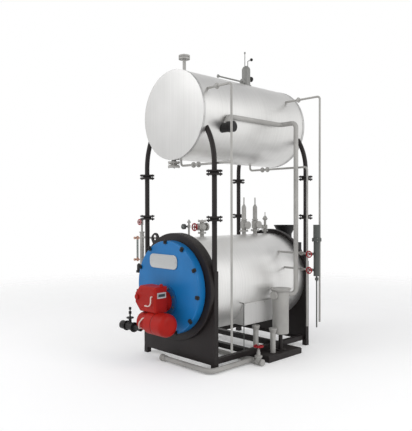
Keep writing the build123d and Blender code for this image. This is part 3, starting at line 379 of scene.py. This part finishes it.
breaker_grey = painted("breaker_grey", colour=(0.20, 0.20, 0.19), worn=(0.34, 0.33, 0.32), roughness=0.42,
                       wear=0.4, edge=0.002)
door_blue = door_enamel("door_blue", colour=(0.005, 0.148, 0.400), worn=(0.12, 0.3, 0.55),
                        hinge_colour=(0.012, 0.010, 0.010), lining_colour=(0.55, 0.47, 0.36),
                        hinge_edge=axis_x - hinge_reach, lining_front=door_high.y - door_plug_depth)
# Painted shade: the flange's front is a darker copy of the door blue, standing in for the shadow beside the
# burner housing; behind the door it is dark steel
flange_blue_painted_shade = two_paints("flange_blue_painted_shade", front_colour=(0.004, 0.095, 0.265), rear_colour=(0.020, 0.018, 0.017),
                         parting=door_low.y)
gauge_paint = two_paints("gauge_paint", front_colour=(0.02, 0.02, 0.02), rear_colour=pipe_colour,
                         parting=at(0, gauge_back - gauge_case_reach, 0).y)

# Metals and glass
around_tank = sheet_metal("around_tank", stretch=(0.8, 130, 0.8), colour=(0.75, 0.745, 0.73),
                          roughest=0.44, smoothest=0.36)
# Painted shade: the tank ends get a darker copy of the cladding metal, to hold down the key light on them
across_end_painted_shade = sheet_metal("across_end_painted_shade", stretch=(110, 1.0, 0.8), colour=(0.57, 0.567, 0.56),
                         roughest=0.46, smoothest=0.40)
# Painted light: the boiler shell gets a paler copy of the cladding metal, to make up for the dark reflections
# low on it
shell_sheet_painted_light = sheet_metal("shell_sheet_painted_light", stretch=(0.8, 120, 0.8), colour=(0.82, 0.815, 0.80),
                          roughest=0.46, smoothest=0.38, metallic=0.85)
# Painted light: the cover gets a less metallic copy of the cladding, so its side face shows less dark
# reflection and reads lighter
cover_sheet_painted_light = sheet_metal("cover_sheet_painted_light", stretch=(0.8, 90, 0.8), colour=(0.60, 0.595, 0.585),
                          roughest=0.55, smoothest=0.48, metallic=0.45)
scaled_steel = bare_metal("scaled_steel", colour=(0.16, 0.145, 0.135), roughness=0.55, grain=60.0, relief=0.5)
# Black for the discs in the tube mouths: soot, and painted shade for the open tubes' depth
soot_shade_black = bare_metal("soot_shade_black", colour=(0.02, 0.018, 0.017), roughness=0.8, grain=140.0, relief=0.6)
cock_bronze = bare_metal("cock_bronze", colour=(0.55, 0.33, 0.25), roughness=0.38)
bolt_zinc = bare_metal("bolt_zinc", colour=(0.50, 0.49, 0.47), roughness=0.38, grain=300.0, relief=0.1)
plate_satin = bare_metal("plate_satin", colour=(0.52, 0.53, 0.53), roughness=0.40, grain=900.0, relief=0.05)
glass = sight_glass("sight_glass")

# The finish of each slot, and of the nodes that differ from their slot
slot_finish = {
    "black_frame": frame_black, "black_iron": iron_black, "cladding": around_tank,
    "dark_steel": scaled_steel, "door_blue": door_blue, "burner_red": burner_red, "pale_lead": lead_pale,
    "pipe_grey": pipe_grey, "column_grey": column_grey, "wheel_red": wheel_red, "cock_bronze": cock_bronze,
    "gauge_glass": glass}
node_finish = {
    "tank_front_end": across_end_painted_shade, "tank_rear_end": across_end_painted_shade, "boiler_shell": shell_sheet_painted_light,
    "cladding_cover": cover_sheet_painted_light, "burner_flange": flange_blue_painted_shade, "burner_fan": fan_red,
    "pressure_gauge": gauge_paint, "vacuum_breaker": breaker_grey, "sample_line": column_grey}
for part in frame["record"]["subparts"]:
    finish = node_finish.get(part["node"], slot_finish[part["material_slot"]])
    for slot in frame["nodes"][part["node"]].material_slots:
        slot.material = finish


# Modelling helpers
def start():
    """Back to object mode with nothing selected."""
    if bpy.context.mode != "OBJECT":
        bpy.ops.object.mode_set(mode="OBJECT")
    bpy.ops.object.select_all(action="DESELECT")


def settle():
    """Puts the active piece's place, turn and scale into its mesh."""
    bpy.ops.object.transform_apply(location=True, rotation=True, scale=True)


def done():
    """Leaves edit mode and gives back the piece."""
    start()
    return bpy.context.object


def edit(select_mode):
    """Edit mode on the active piece, with nothing selected."""
    bpy.ops.object.mode_set(mode="EDIT")
    bpy.ops.mesh.select_mode(type=select_mode)
    bpy.ops.mesh.select_all(action="DESELECT")


def pick_faces(test):
    """Selects the faces whose middle and normal pass a test."""
    edit("FACE")
    mesh = bmesh.from_edit_mesh(bpy.context.object.data)
    for face in mesh.faces:
        face.select_set(test(face.calc_center_median(), face.normal))
    bmesh.update_edit_mesh(bpy.context.object.data)


def bevel_edges(test, offset, segments=1):
    """Bevels the edges whose two ends pass a test."""
    edit("EDGE")
    mesh = bmesh.from_edit_mesh(bpy.context.object.data)
    for edge in mesh.edges:
        edge.select_set(test(edge.verts[0].co, edge.verts[1].co))
    bmesh.update_edit_mesh(bpy.context.object.data)
    bpy.ops.mesh.bevel(offset=offset, segments=segments)


def round_block(sides, radius, low, high):
    """A block of some sides round the upright axis, between two heights."""
    start()
    bpy.ops.mesh.primitive_cylinder_add(vertices=sides, radius=radius, depth=high - low,
                                        location=(0, 0, (low + high) / 2))
    settle()


def square_block(size, centre=(0, 0, 0)):
    """A block of some size about a point."""
    start()
    bpy.ops.mesh.primitive_cube_add(size=1)
    block = bpy.context.object
    block.scale = size
    block.location = centre
    settle()


def standing(point, direction, turn=0.0):
    """The place of a piece that was modelled upright, with its foot at a point."""
    upright = direction.to_track_quat("Z", "Y").to_matrix().to_4x4()
    return Matrix.Translation(point) @ upright @ Matrix.Rotation(turn, 4, "Z")


def ring(centre, direction, radius, count, turn=0.0):
    """Points spaced evenly on a circle."""
    upright = direction.to_track_quat("Z", "Y")
    points = []
    for step in range(count):
        angle = turn + math.tau * step / count
        points.append(centre + upright @ Vector((radius * math.cos(angle), radius * math.sin(angle), 0)))
    return points


def flange_places(centre, direction, radius, count=4, turn=math.pi / 4):
    """Places of bolts on a bolt circle."""
    return [standing(point, direction, turn) for point in ring(centre, direction, radius, count, turn)]


def join(pieces):
    """Several pieces made one, with its place in its mesh."""
    start()
    for piece in pieces:
        piece.select_set(True)
    bpy.context.view_layer.objects.active = pieces[0]
    if len(pieces) > 1:
        bpy.ops.object.join()
    settle()
    return bpy.context.object


def repeat(model, places):
    """A modelled piece copied to each place, every copy with its own mesh, and joined."""
    copies = []
    for place in places:
        copy = model.copy()
        copy.data = model.data.copy()
        bpy.context.scene.collection.objects.link(copy)
        copy.matrix_world = place
        copies.append(copy)
    bpy.data.objects.remove(model)
    return join(copies)


def dress(piece, name, body, finish, smooth=35.0):
    """Names a finished piece, gives it its finish and lets it ride on a body."""
    start()
    piece.name = name
    piece.data.name = name
    piece.select_set(True)
    bpy.context.view_layer.objects.active = piece
    settle()
    bpy.ops.object.shade_smooth_by_angle(angle=math.radians(smooth))
    piece.data.materials.clear()
    piece.data.materials.append(finish)
    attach(piece, body)


# Small shapes, in shares of their size
nut_across, nut_height = 1.6, 0.8


def hex_nut(across, height):
    """A chamfered hexagon on its foot."""
    round_block(6, across / math.sqrt(3), 0, height)
    bevel_edges(lambda a, b: min(a.z, b.z) > height * 0.9, across * 0.1)
    return done()


def stud(radius, low, high):
    """A round stud with chamfered ends, standing on the axis."""
    near = radius * 0.1
    round_block(10, radius, low, high)
    bevel_edges(lambda a, b: max(a.z, b.z) < low + near or min(a.z, b.z) > high - near, radius * 0.25)
    return done()


def through_bolt(size, grip):
    """A bolt through two flanges: head above, nut and stud end below, centred on the joint."""
    head = hex_nut(nut_across * size, 0.65 * size)
    head.location.z = grip / 2
    nut = hex_nut(nut_across * size, nut_height * size)
    nut.rotation_euler.x = math.pi
    nut.location.z = -grip / 2
    shank = stud(size / 2, -grip / 2 - 1.05 * size, grip / 2)
    return join([shank, head, nut])


def bolt_head(size):
    """A hexagon head on a washer, on its foot."""
    round_block(16, 1.05 * size, 0, 0.2 * size)
    bevel_edges(lambda a, b: min(a.z, b.z) > 0.15 * size, 0.06 * size)
    washer = done()
    head = hex_nut(nut_across * size, 0.7 * size)
    head.location.z = 0.2 * size
    return join([washer, head])


def stud_nut(size):
    """A nut with the end of its stud, on its foot."""
    nut = hex_nut(nut_across * size, nut_height * size)
    end = stud(size / 2, 0.1 * size, 1.2 * size)
    return join([nut, end])


def pan_screw(radius):
    """A low round screw head with a dimple, on its foot."""
    round_block(12, radius, 0, 0.6 * radius)
    bevel_edges(lambda a, b: min(a.z, b.z) > 0.5 * radius, 0.3 * radius, 2)
    pick_faces(lambda middle, normal: normal.z > 0.99 and middle.length < 0.7 * radius)
    bpy.ops.mesh.inset(thickness=0.3 * radius)
    bpy.ops.transform.translate(value=(0, 0, -0.2 * radius))
    return done()


def bar(length, width, depth, end_share=1.0):
    """A flat bar on its foot with softened edges, along x, that narrows to a share at its far end."""
    square_block((length, width, depth), (length / 2, 0, depth / 2))
    pick_faces(lambda middle, normal: normal.x > 0.9)
    bpy.ops.transform.resize(value=(1, end_share, 1))
    bevel_edges(lambda a, b: min(a.z, b.z) > 0.9 * depth, 0.2 * min(width, depth))
    return done()


def dish(radius, depth, rim, sunk, sides=40):
    """A round plate on its foot, sunk inside its rim."""
    round_block(sides, radius, 0, depth)
    pick_faces(lambda middle, normal: normal.z > 0.9)
    bpy.ops.mesh.inset(thickness=rim * 0.5)
    bpy.ops.mesh.inset(thickness=rim * 0.5)
    bpy.ops.transform.translate(value=(0, 0, -sunk))
    return done()


def weld_bead(radius, thickness):
    """An uneven ring of weld."""
    start()
    bpy.ops.mesh.primitive_torus_add(major_radius=radius, minor_radius=thickness, major_segments=48,
                                     minor_segments=8)
    edit("VERT")
    bpy.ops.mesh.select_all(action="SELECT")
    bpy.ops.transform.vertex_random(offset=thickness * 0.3, seed=3)
    return done()


def round_body(radius, length):
    """A bulged ring with rounded shoulders, centred on its axis."""
    round_block(28, radius, -length / 2, length / 2)
    bevel_edges(lambda a, b: abs(a.z - b.z) < length / 4, length * 0.4, 4)
    pick_faces(lambda middle, normal: abs(normal.z) > 0.99)
    bpy.ops.mesh.inset(thickness=radius * 0.2)
    return done()


def rounded_plate(width, height, depth, corner, rim):
    """A plate with round corners and a raised rim, facing the front."""
    square_block((width, depth, height))
    bevel_edges(lambda a, b: abs(a.y - b.y) > depth / 2, corner, 8)
    pick_faces(lambda middle, normal: normal.y < -0.9)
    bpy.ops.mesh.inset(thickness=rim * 0.4)
    bpy.ops.mesh.inset(thickness=rim * 0.6)
    bpy.ops.transform.translate(value=(0, depth * 0.35, 0))
    return done()


# Bolts of the post flanges
post_bolt, post_bolt_circle, post_grip = 0.008, 0.055, 0.0454
post_places = []
for x in (posts_low.x + post_flange_radius, posts_high.x - post_flange_radius):
    for y in (posts_low.y + post_flange_radius, posts_high.y - post_flange_radius):
        for z in (posts_low.z, posts_high.z):
            for point in ring(Vector((x, y, z)), UP, post_bolt_circle, 4, math.pi / 4):
                post_places.append(standing(point, UP))
post_bolts = repeat(through_bolt(post_bolt, post_grip), post_places)
dress(post_bolts, "post_flange_bolts", "boiler", iron_black)


# Bolts through the level flanges of the fittings
def fitting_joint(name, centre, circle, grip, size):
    """Four bolts through a joint of two level flanges."""
    bolts = repeat(through_bolt(size, grip), flange_places(centre, UP, circle))
    dress(bolts, name, "boiler", pipe_grey)


tank_vent_joint = at(0, tank_vent_back, 3.0086)
tank_outlet_joint = at(-0.075, 0.005, 1.9470)
level_column_joint = at(0.862, 1.104, 1.1910)
fitting_joint("tank_vent_bolts", tank_vent_joint, circle=0.044, grip=0.039, size=0.007)
fitting_joint("tank_outlet_bolts", tank_outlet_joint, circle=0.0505, grip=0.058, size=0.007)
fitting_joint("level_column_bolts", level_column_joint, circle=0.0405, grip=0.030, size=0.006)


# Bolt heads on the fittings on the shell: a flange's face, the way it looks and its bolt circle
def face_bolts(name, faces, size):
    """Four bolt heads on each of several flange faces."""
    places = [place for face in faces for place in flange_places(*face)]
    dress(repeat(bolt_head(size), places), name, "boiler", bolt_zinc)


steam_circle, vent_circle, safety_circle = 0.033, 0.0275, 0.0375
steam_foot, steam_outlet, steam_top = 1.2651, 1.321, 1.3892
steam_outlet_reach = 0.0504
vent_foot, safety_foot = 1.2588, 1.2685
head_faces = [(at(0, steam_back, steam_foot), UP, steam_circle),
              (at(0, steam_back, steam_top), UP, steam_circle),
              (at(0, steam_back + steam_outlet_reach, steam_outlet), FRONT, steam_circle),
              (at(0, vent_back, vent_foot), UP, vent_circle)]
head_faces += [(at(0, back, safety_foot), UP, safety_circle) for back in safety_backs]
face_bolts("fitting_bolts", head_faces, size=0.007)

# Bolt heads on the blowdown valve, given in the same way
blow_circle, blow_cover_circle = 0.0265, 0.030
blow_right, blow_back, blow_height, blow_cover = 0.645, 0.450, 0.034, 0.0938
blow_reach = 0.0391
blow_faces = [(at(blow_right + blow_reach, blow_back, blow_height), LEFT, blow_circle),
              (at(blow_right - blow_reach, blow_back, blow_height), RIGHT, blow_circle),
              (at(blow_right, blow_back, blow_cover), UP, blow_cover_circle)]
face_bolts("blowdown_bolts", blow_faces, size=0.005)

# Nuts of the rear cover
rear_nut, rear_circle, rear_count = 0.012, 0.408, 20
rear_middle = Vector((axis_x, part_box("rear_cover")[1].y, axis_z))
rear_places = flange_places(rear_middle, BACK, rear_circle, rear_count, 0.0)
dress(repeat(stud_nut(rear_nut), rear_places), "rear_cover_nuts", "boiler", iron_black)

# Nuts of the door dogs
dog_nut, dog_circle, dog_count, dog_turn = 0.010, 0.444, 11, math.radians(26.3)
dog_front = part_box("door_clamps")[0].y
dog_places = []
for step in range(dog_count):
    angle = dog_turn + math.tau * step / dog_count
    right, rise = dog_circle * math.cos(angle), dog_circle * math.sin(angle)
    dog_places.append(standing(Vector((axis_x + right, dog_front, axis_z + rise)), FRONT))
dress(repeat(stud_nut(dog_nut), dog_places), "door_dog_nuts", "door", iron_black)

# Nuts of the burner flange
burner_nut, burner_circle, burner_count = 0.012, 0.130, 8
flange_low, flange_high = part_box("burner_flange")
burner_middle = Vector((axis_x, flange_low.y, (flange_low.z + flange_high.z) / 2))
burner_places = flange_places(burner_middle, FRONT, burner_circle, burner_count, math.pi / burner_count)
dress(repeat(stud_nut(burner_nut), burner_places), "burner_flange_nuts", "door", scaled_steel)

# Bolts of the gas train
gas_bolt, gas_circle, gas_grip = 0.007, 0.039, 0.012
gas_middle = at(0, -0.384, 0.361)
gas_reaches = (0.219, 0.337)
gas_joints = [gas_middle + LEFT * reach for reach in gas_reaches]
gas_places = [place for joint in gas_joints for place in flange_places(joint, LEFT, gas_circle)]
gas_bolts = repeat(through_bolt(gas_bolt, gas_grip), gas_places)
dress(gas_bolts, "gas_train_bolts", "door", iron_black)

# Nuts that hold the hand wheels on their stems: a wheel's body, the way its stem points and its nut's size
wheel_nuts = {"steam_valve_wheel": ("steam_wheel", FRONT, 0.011),
              "blowdown_wheel": ("blow_wheel", UP, 0.013),
              "column_wheel_upper": ("upper_column_wheel", FRONT, 0.0097),
              "column_wheel_lower": ("lower_column_wheel", FRONT, 0.0097),
              "gauge_valve_wheel": ("gauge_wheel", FRONT, 0.0087)}
for wheel, (body, way, size) in wheel_nuts.items():
    low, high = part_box(wheel)
    hub = (low + high) / 2 + way * abs((high - low).dot(way)) / 2
    dress(repeat(stud_nut(size), [standing(hub, way)]), wheel + "_nut", body, bolt_zinc)

# Welds round the stubs on the shell and the tank: a stub's place, the height of its foot and its radius
bead_thickness, bead_smooth = 0.0028, 60.0
stub_welds = {"gauge_weld": (gauge_back, shell_high.z, 0.0185),
              "steam_weld": (steam_back, shell_high.z, 0.0215),
              "first_safety_weld": (safety_backs[0], shell_high.z, 0.0230),
              "second_safety_weld": (safety_backs[1], shell_high.z, 0.0230),
              "air_vent_weld": (vent_back, shell_high.z, 0.0165),
              "tank_vent_weld": (tank_vent_back, tank_high.z, 0.0175)}
for name, (back, height, radius) in stub_welds.items():
    bead = weld_bead(radius, bead_thickness)
    bead.location = at(0, back, height)
    dress(bead, name, "boiler", pipe_grey, bead_smooth)

# Pressure gauge: dial, marks and needle
gauge_face_reach, gauge_height = 0.0792, 1.3294
dial_radius, dial_depth, dial_rim, dial_sunk = 0.0255, 0.004, 0.004, 0.002
mark_count, mark_width, mark_depth = 11, 0.0011, 0.0004
mark_start_share, mark_share, needle_share, needle_tip_share = 0.62, 0.2, 0.7, 0.25
needle_width, needle_depth, needle_turn = 0.0024, 0.0006, math.radians(150)
sweep_start, sweep_end = math.radians(225), math.radians(-45)
dial_foot = at(0, gauge_back - gauge_face_reach, gauge_height)
dial_floor = dial_depth - dial_sunk


def on_dial(angle, reach, lift):
    """The place of a flat bar that points outwards on the dial at an angle."""
    outward = Vector((math.cos(angle), 0, math.sin(angle)))
    return (Matrix.Translation(dial_foot + FRONT * lift + outward * reach)
            @ Matrix.Rotation(-angle, 4, "Y") @ Matrix.Rotation(math.pi / 2, 4, "X"))


dial = repeat(dish(dial_radius, dial_depth, dial_rim, dial_sunk), [standing(dial_foot, FRONT)])
dress(dial, "gauge_dial", "boiler", panel_dark)
mark_places = []
for step in range(mark_count):
    angle = sweep_start + (sweep_end - sweep_start) * step / (mark_count - 1)
    mark_places.append(on_dial(angle, dial_radius * mark_start_share, dial_floor))
marks = repeat(bar(dial_radius * mark_share, mark_width, mark_depth), mark_places)
dress(marks, "gauge_marks", "boiler", dial_white)
needle = repeat(bar(dial_radius * needle_share, needle_width, needle_depth, needle_tip_share),
                [on_dial(needle_turn, 0, dial_floor + mark_depth)])
dress(needle, "gauge_needle", "boiler", dial_white)

# Smoke tube ends on the tube plate, with black discs in their mouths: soot, and painted shade for the depth of
# the open tubes
tube_pitch, tube_row_share = 0.068, 0.87
tube_rows, tube_columns = range(-1, 6), range(-6, 7)
tube_field, furnace_clear = 0.370, 0.205
tube_radius, tube_depth, tube_wall, tube_sunk, tube_sides = 0.0255, 0.007, 0.005, 0.005, 20
soot_shade_gap, soot_shade_depth, soot_shade_rim, soot_shade_sunk, soot_shade_sides = 0.006, 0.0012, 0.006, 0.0006, 16
soot_shade_lift = 0.0022
plate_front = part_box("tube_plate")[0].y
furnace_low, furnace_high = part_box("furnace_tube")
furnace_z = (furnace_low.z + furnace_high.z) / 2
tube_places = []
for row in tube_rows:
    for column in tube_columns:
        right = tube_pitch * (column + 0.5 * (row % 2))
        rise = tube_pitch * tube_row_share * row
        from_furnace = math.hypot(right, axis_z + rise - furnace_z)
        if math.hypot(right, rise) < tube_field and from_furnace > furnace_clear:
            tube_places.append(standing(Vector((axis_x + right, plate_front, axis_z + rise)), FRONT))
tubes = repeat(dish(tube_radius, tube_depth, tube_wall, tube_sunk, tube_sides), tube_places)
dress(tubes, "tube_ends", "boiler", scaled_steel)
soot_shade_places = [Matrix.Translation(FRONT * soot_shade_lift) @ place for place in tube_places]
soot_shade = repeat(dish(tube_radius - soot_shade_gap, soot_shade_depth, soot_shade_rim, soot_shade_sunk, soot_shade_sides), soot_shade_places)
dress(soot_shade, "tube_soot_shade", "boiler", soot_shade_black)

# Round bodies of the cocks on the overflow and drain lines
cock_radius, cock_length = 0.028, 0.026
front_cock_right, front_cock_rise = 0.500, 0.217
rear_cock_right, rear_cock_rise = 0.520, 0.251
drain_cock_rights, drain_drop = (0.180, 0.250), 0.057


def line_y(line):
    """How far back the middle of a line lies."""
    return (sum(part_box(line), Vector()) / 2).y


front_line_y, rear_line_y = line_y("front_overflow_line"), line_y("rear_overflow_line")
cock_spots = [(front_cock_right, front_line_y, tank_z + front_cock_rise),
              (rear_cock_right, rear_line_y, tank_z + rear_cock_rise)]
for drain_y in (front_line_y, line_y("rear_drain_line")):
    cock_spots += [(right, drain_y, tank_low.z - drain_drop) for right in drain_cock_rights]
cock_places = [standing(Vector((axis_x + right, y, height)), RIGHT) for right, y, height in cock_spots]
cocks = repeat(round_body(cock_radius, cock_length), cock_places)
dress(cocks, "cock_bodies", "boiler", pipe_grey)

# Screws round the rims of the tank
small_screw = 0.005
rim_inset, rim_lap, rim_count = 0.008, 0.0033, 20
rim_places = []
for y in (tank_low.y + rim_inset, tank_high.y - rim_inset):
    middle = Vector((axis_x, y, tank_z))
    for point in ring(middle, BACK, tank_radius + rim_lap, rim_count, math.pi / rim_count):
        rim_places.append(standing(point, (point - middle).normalized()))
dress(repeat(pan_screw(small_screw), rim_places), "tank_rim_screws", "boiler", bolt_zinc)

# Screws of the cladding cover
cover_y_shares, cover_z_shares = (0.03, 0.35, 0.65, 0.97), (0.06, 0.94)
cover_low, cover_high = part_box("cladding_cover")
cover_places = []
for y_share in cover_y_shares:
    for z_share in cover_z_shares:
        y = cover_low.y + (cover_high.y - cover_low.y) * y_share
        z = cover_low.z + (cover_high.z - cover_low.z) * z_share
        cover_places.append(standing(Vector((cover_high.x, y, z)), RIGHT))
dress(repeat(pan_screw(small_screw), cover_places), "cover_screws", "boiler", bolt_zinc)

# Screws on the front of the burner housing: right of the boiler axis and above the floor
housing_screw, housing_reach = 0.006, 0.398
housing_spots = [(0.085, 0.745), (0.085, 0.575), (-0.085, 0.745), (-0.075, 0.575), (-0.155, 0.615)]
housing_places = [standing(at(right, -housing_reach, height), FRONT) for right, height in housing_spots]
dress(repeat(pan_screw(housing_screw), housing_places), "burner_screws", "door", burner_red)

# Bare name plate on the door, with its two rivets
plate_width, plate_height, plate_depth = 0.410, 0.136, 0.008
plate_corner, plate_rim = 0.050, 0.010
plate_left, plate_rise = 0.045, 0.250
rivet_inset, rivet_lift_share = 0.022, 0.15
plate_middle = Vector((axis_x - plate_left, door_low.y - plate_depth / 2, axis_z + plate_rise))
plate = rounded_plate(plate_width, plate_height, plate_depth, plate_corner, plate_rim)
plate.location = plate_middle
dress(plate, "name_plate", "door", plate_satin)
rivet_places = []
for side in (-1, 1):
    to_rivet = Vector((side * (plate_width / 2 - rivet_inset), -plate_depth * rivet_lift_share, 0))
    rivet_places.append(standing(plate_middle + to_rivet, FRONT))
dress(repeat(pan_screw(small_screw), rivet_places), "name_plate_rivets", "door", bolt_zinc)

# Bare label on the right of the burner housing: a pale plate that carries a dark panel
label_depth, panel_depth = 0.003, 0.0015
housing_side, label_front, label_height = 0.118, 0.318, 0.700
label_middle = at(housing_side + label_depth / 2, -label_front, label_height)
label = rounded_plate(width=0.104, height=0.054, depth=label_depth, corner=0.004, rim=0.003)
label.rotation_euler.z = math.pi / 2
label.location = label_middle
dress(label, "burner_label", "door", label_pale)
panel = rounded_plate(width=0.078, height=0.026, depth=panel_depth, corner=0.003, rim=0.002)
panel.rotation_euler.z = math.pi / 2
panel.location = label_middle + RIGHT * (label_depth + panel_depth) / 2
dress(panel, "burner_label_panel", "door", panel_dark)

# Pale floor that fades out and shows a little brighter to the camera and in mirrors and glass
floor_clear, floor_end, floor_glow = 3.2, 7.5, 0.16
start()
bpy.ops.mesh.primitive_circle_add(vertices=96, radius=floor_end, fill_type="NGON", location=(0, 0, 0))
floor = bpy.context.object
floor.name = "floor"
floor_finish, tree, shader = new_finish("floor_pale")
shader["Base Color"].default_value = (0.90, 0.90, 0.90, 1)
shader["Roughness"].default_value = 0.9
shader["Specular IOR Level"].default_value = 0.1
shader["Emission Color"].default_value = (1, 1, 1, 1)
seen = node(tree, "ShaderNodeLightPath").outputs
mirrored = added(tree, seen["Is Glossy Ray"], seen["Is Transmission Ray"])
shown = added(tree, seen["Is Camera Ray"], mirrored)
tree.links.new(scaled(tree, shown, floor_glow), shader["Emission Strength"])
from_middle = node(tree, "ShaderNodeVectorMath", {0: place_on(tree)}, operation="LENGTH").outputs["Value"]
tree.links.new(spread(tree, from_middle, floor_clear, floor_end, 1.0, 0.0), shader["Alpha"])
floor.data.materials.append(floor_finish)

# White surroundings, greyer overhead
sky_white, sky_grey, sky_strength = (1, 1, 1), (0.42, 0.42, 0.43), 1.0
world = bpy.context.scene.world or bpy.data.worlds.new("studio")
bpy.context.scene.world = world
world.use_nodes = True
sky = world.node_tree
ray = node(sky, "ShaderNodeTexCoord").outputs["Generated"]
overhead = spread(sky, node(sky, "ShaderNodeSeparateXYZ", {0: ray}).outputs["Z"], 0.38, 0.95, 0.0, 1.0)
background = sky.nodes["Background"].inputs
sky.links.new(blend_colours(sky, overhead, tint(sky_white), tint(sky_grey)), background["Color"])
background["Strength"].default_value = sky_strength


# Soft light
def softbox(name, place, target, size, power):
    """A large square lamp that faces a point."""
    lamp = bpy.data.lights.new(name, "AREA")
    lamp.shape = "SQUARE"
    lamp.size = size
    lamp.energy = power
    holder = bpy.data.objects.new(name, lamp)
    bpy.context.scene.collection.objects.link(holder)
    holder.location = place
    holder.rotation_euler = (target - Vector(place)).to_track_quat("-Z", "Y").to_euler()


cad_middle = (cad_low + cad_high) / 2
softbox("key_softbox", place=(-2.2, -5.0, 5.2), target=cad_middle, size=3.2, power=105)
softbox("side_softbox", place=(5.5, 0.5, 4.2), target=cad_middle, size=3.0, power=90)

# Camera at the photograph's viewing angle
camera_place = Vector((3.955, -4.2195, 1.515))
camera_yaw, camera_pitch, camera_roll = math.radians(45.9065), math.radians(-0.8004), math.radians(-0.12)
focal_pixels, frame_pixels, sensor = 541.54, 431, 36.0
level = math.cos(camera_pitch)
ahead = Vector((-math.sin(camera_yaw) * level, math.cos(camera_yaw) * level, math.sin(camera_pitch)))
camera = bpy.data.objects.new("camera", bpy.data.cameras.new("camera"))
bpy.context.scene.collection.objects.link(camera)
camera.data.sensor_width = sensor
camera.data.lens = focal_pixels * sensor / frame_pixels
camera.location = camera_place
aim = ahead.to_track_quat("-Z", "Y").to_matrix() @ Matrix.Rotation(camera_roll, 3, "Z")
camera.rotation_euler = aim.to_euler()
bpy.context.scene.camera = camera
bpy.context.scene.view_settings.view_transform = "Standard"
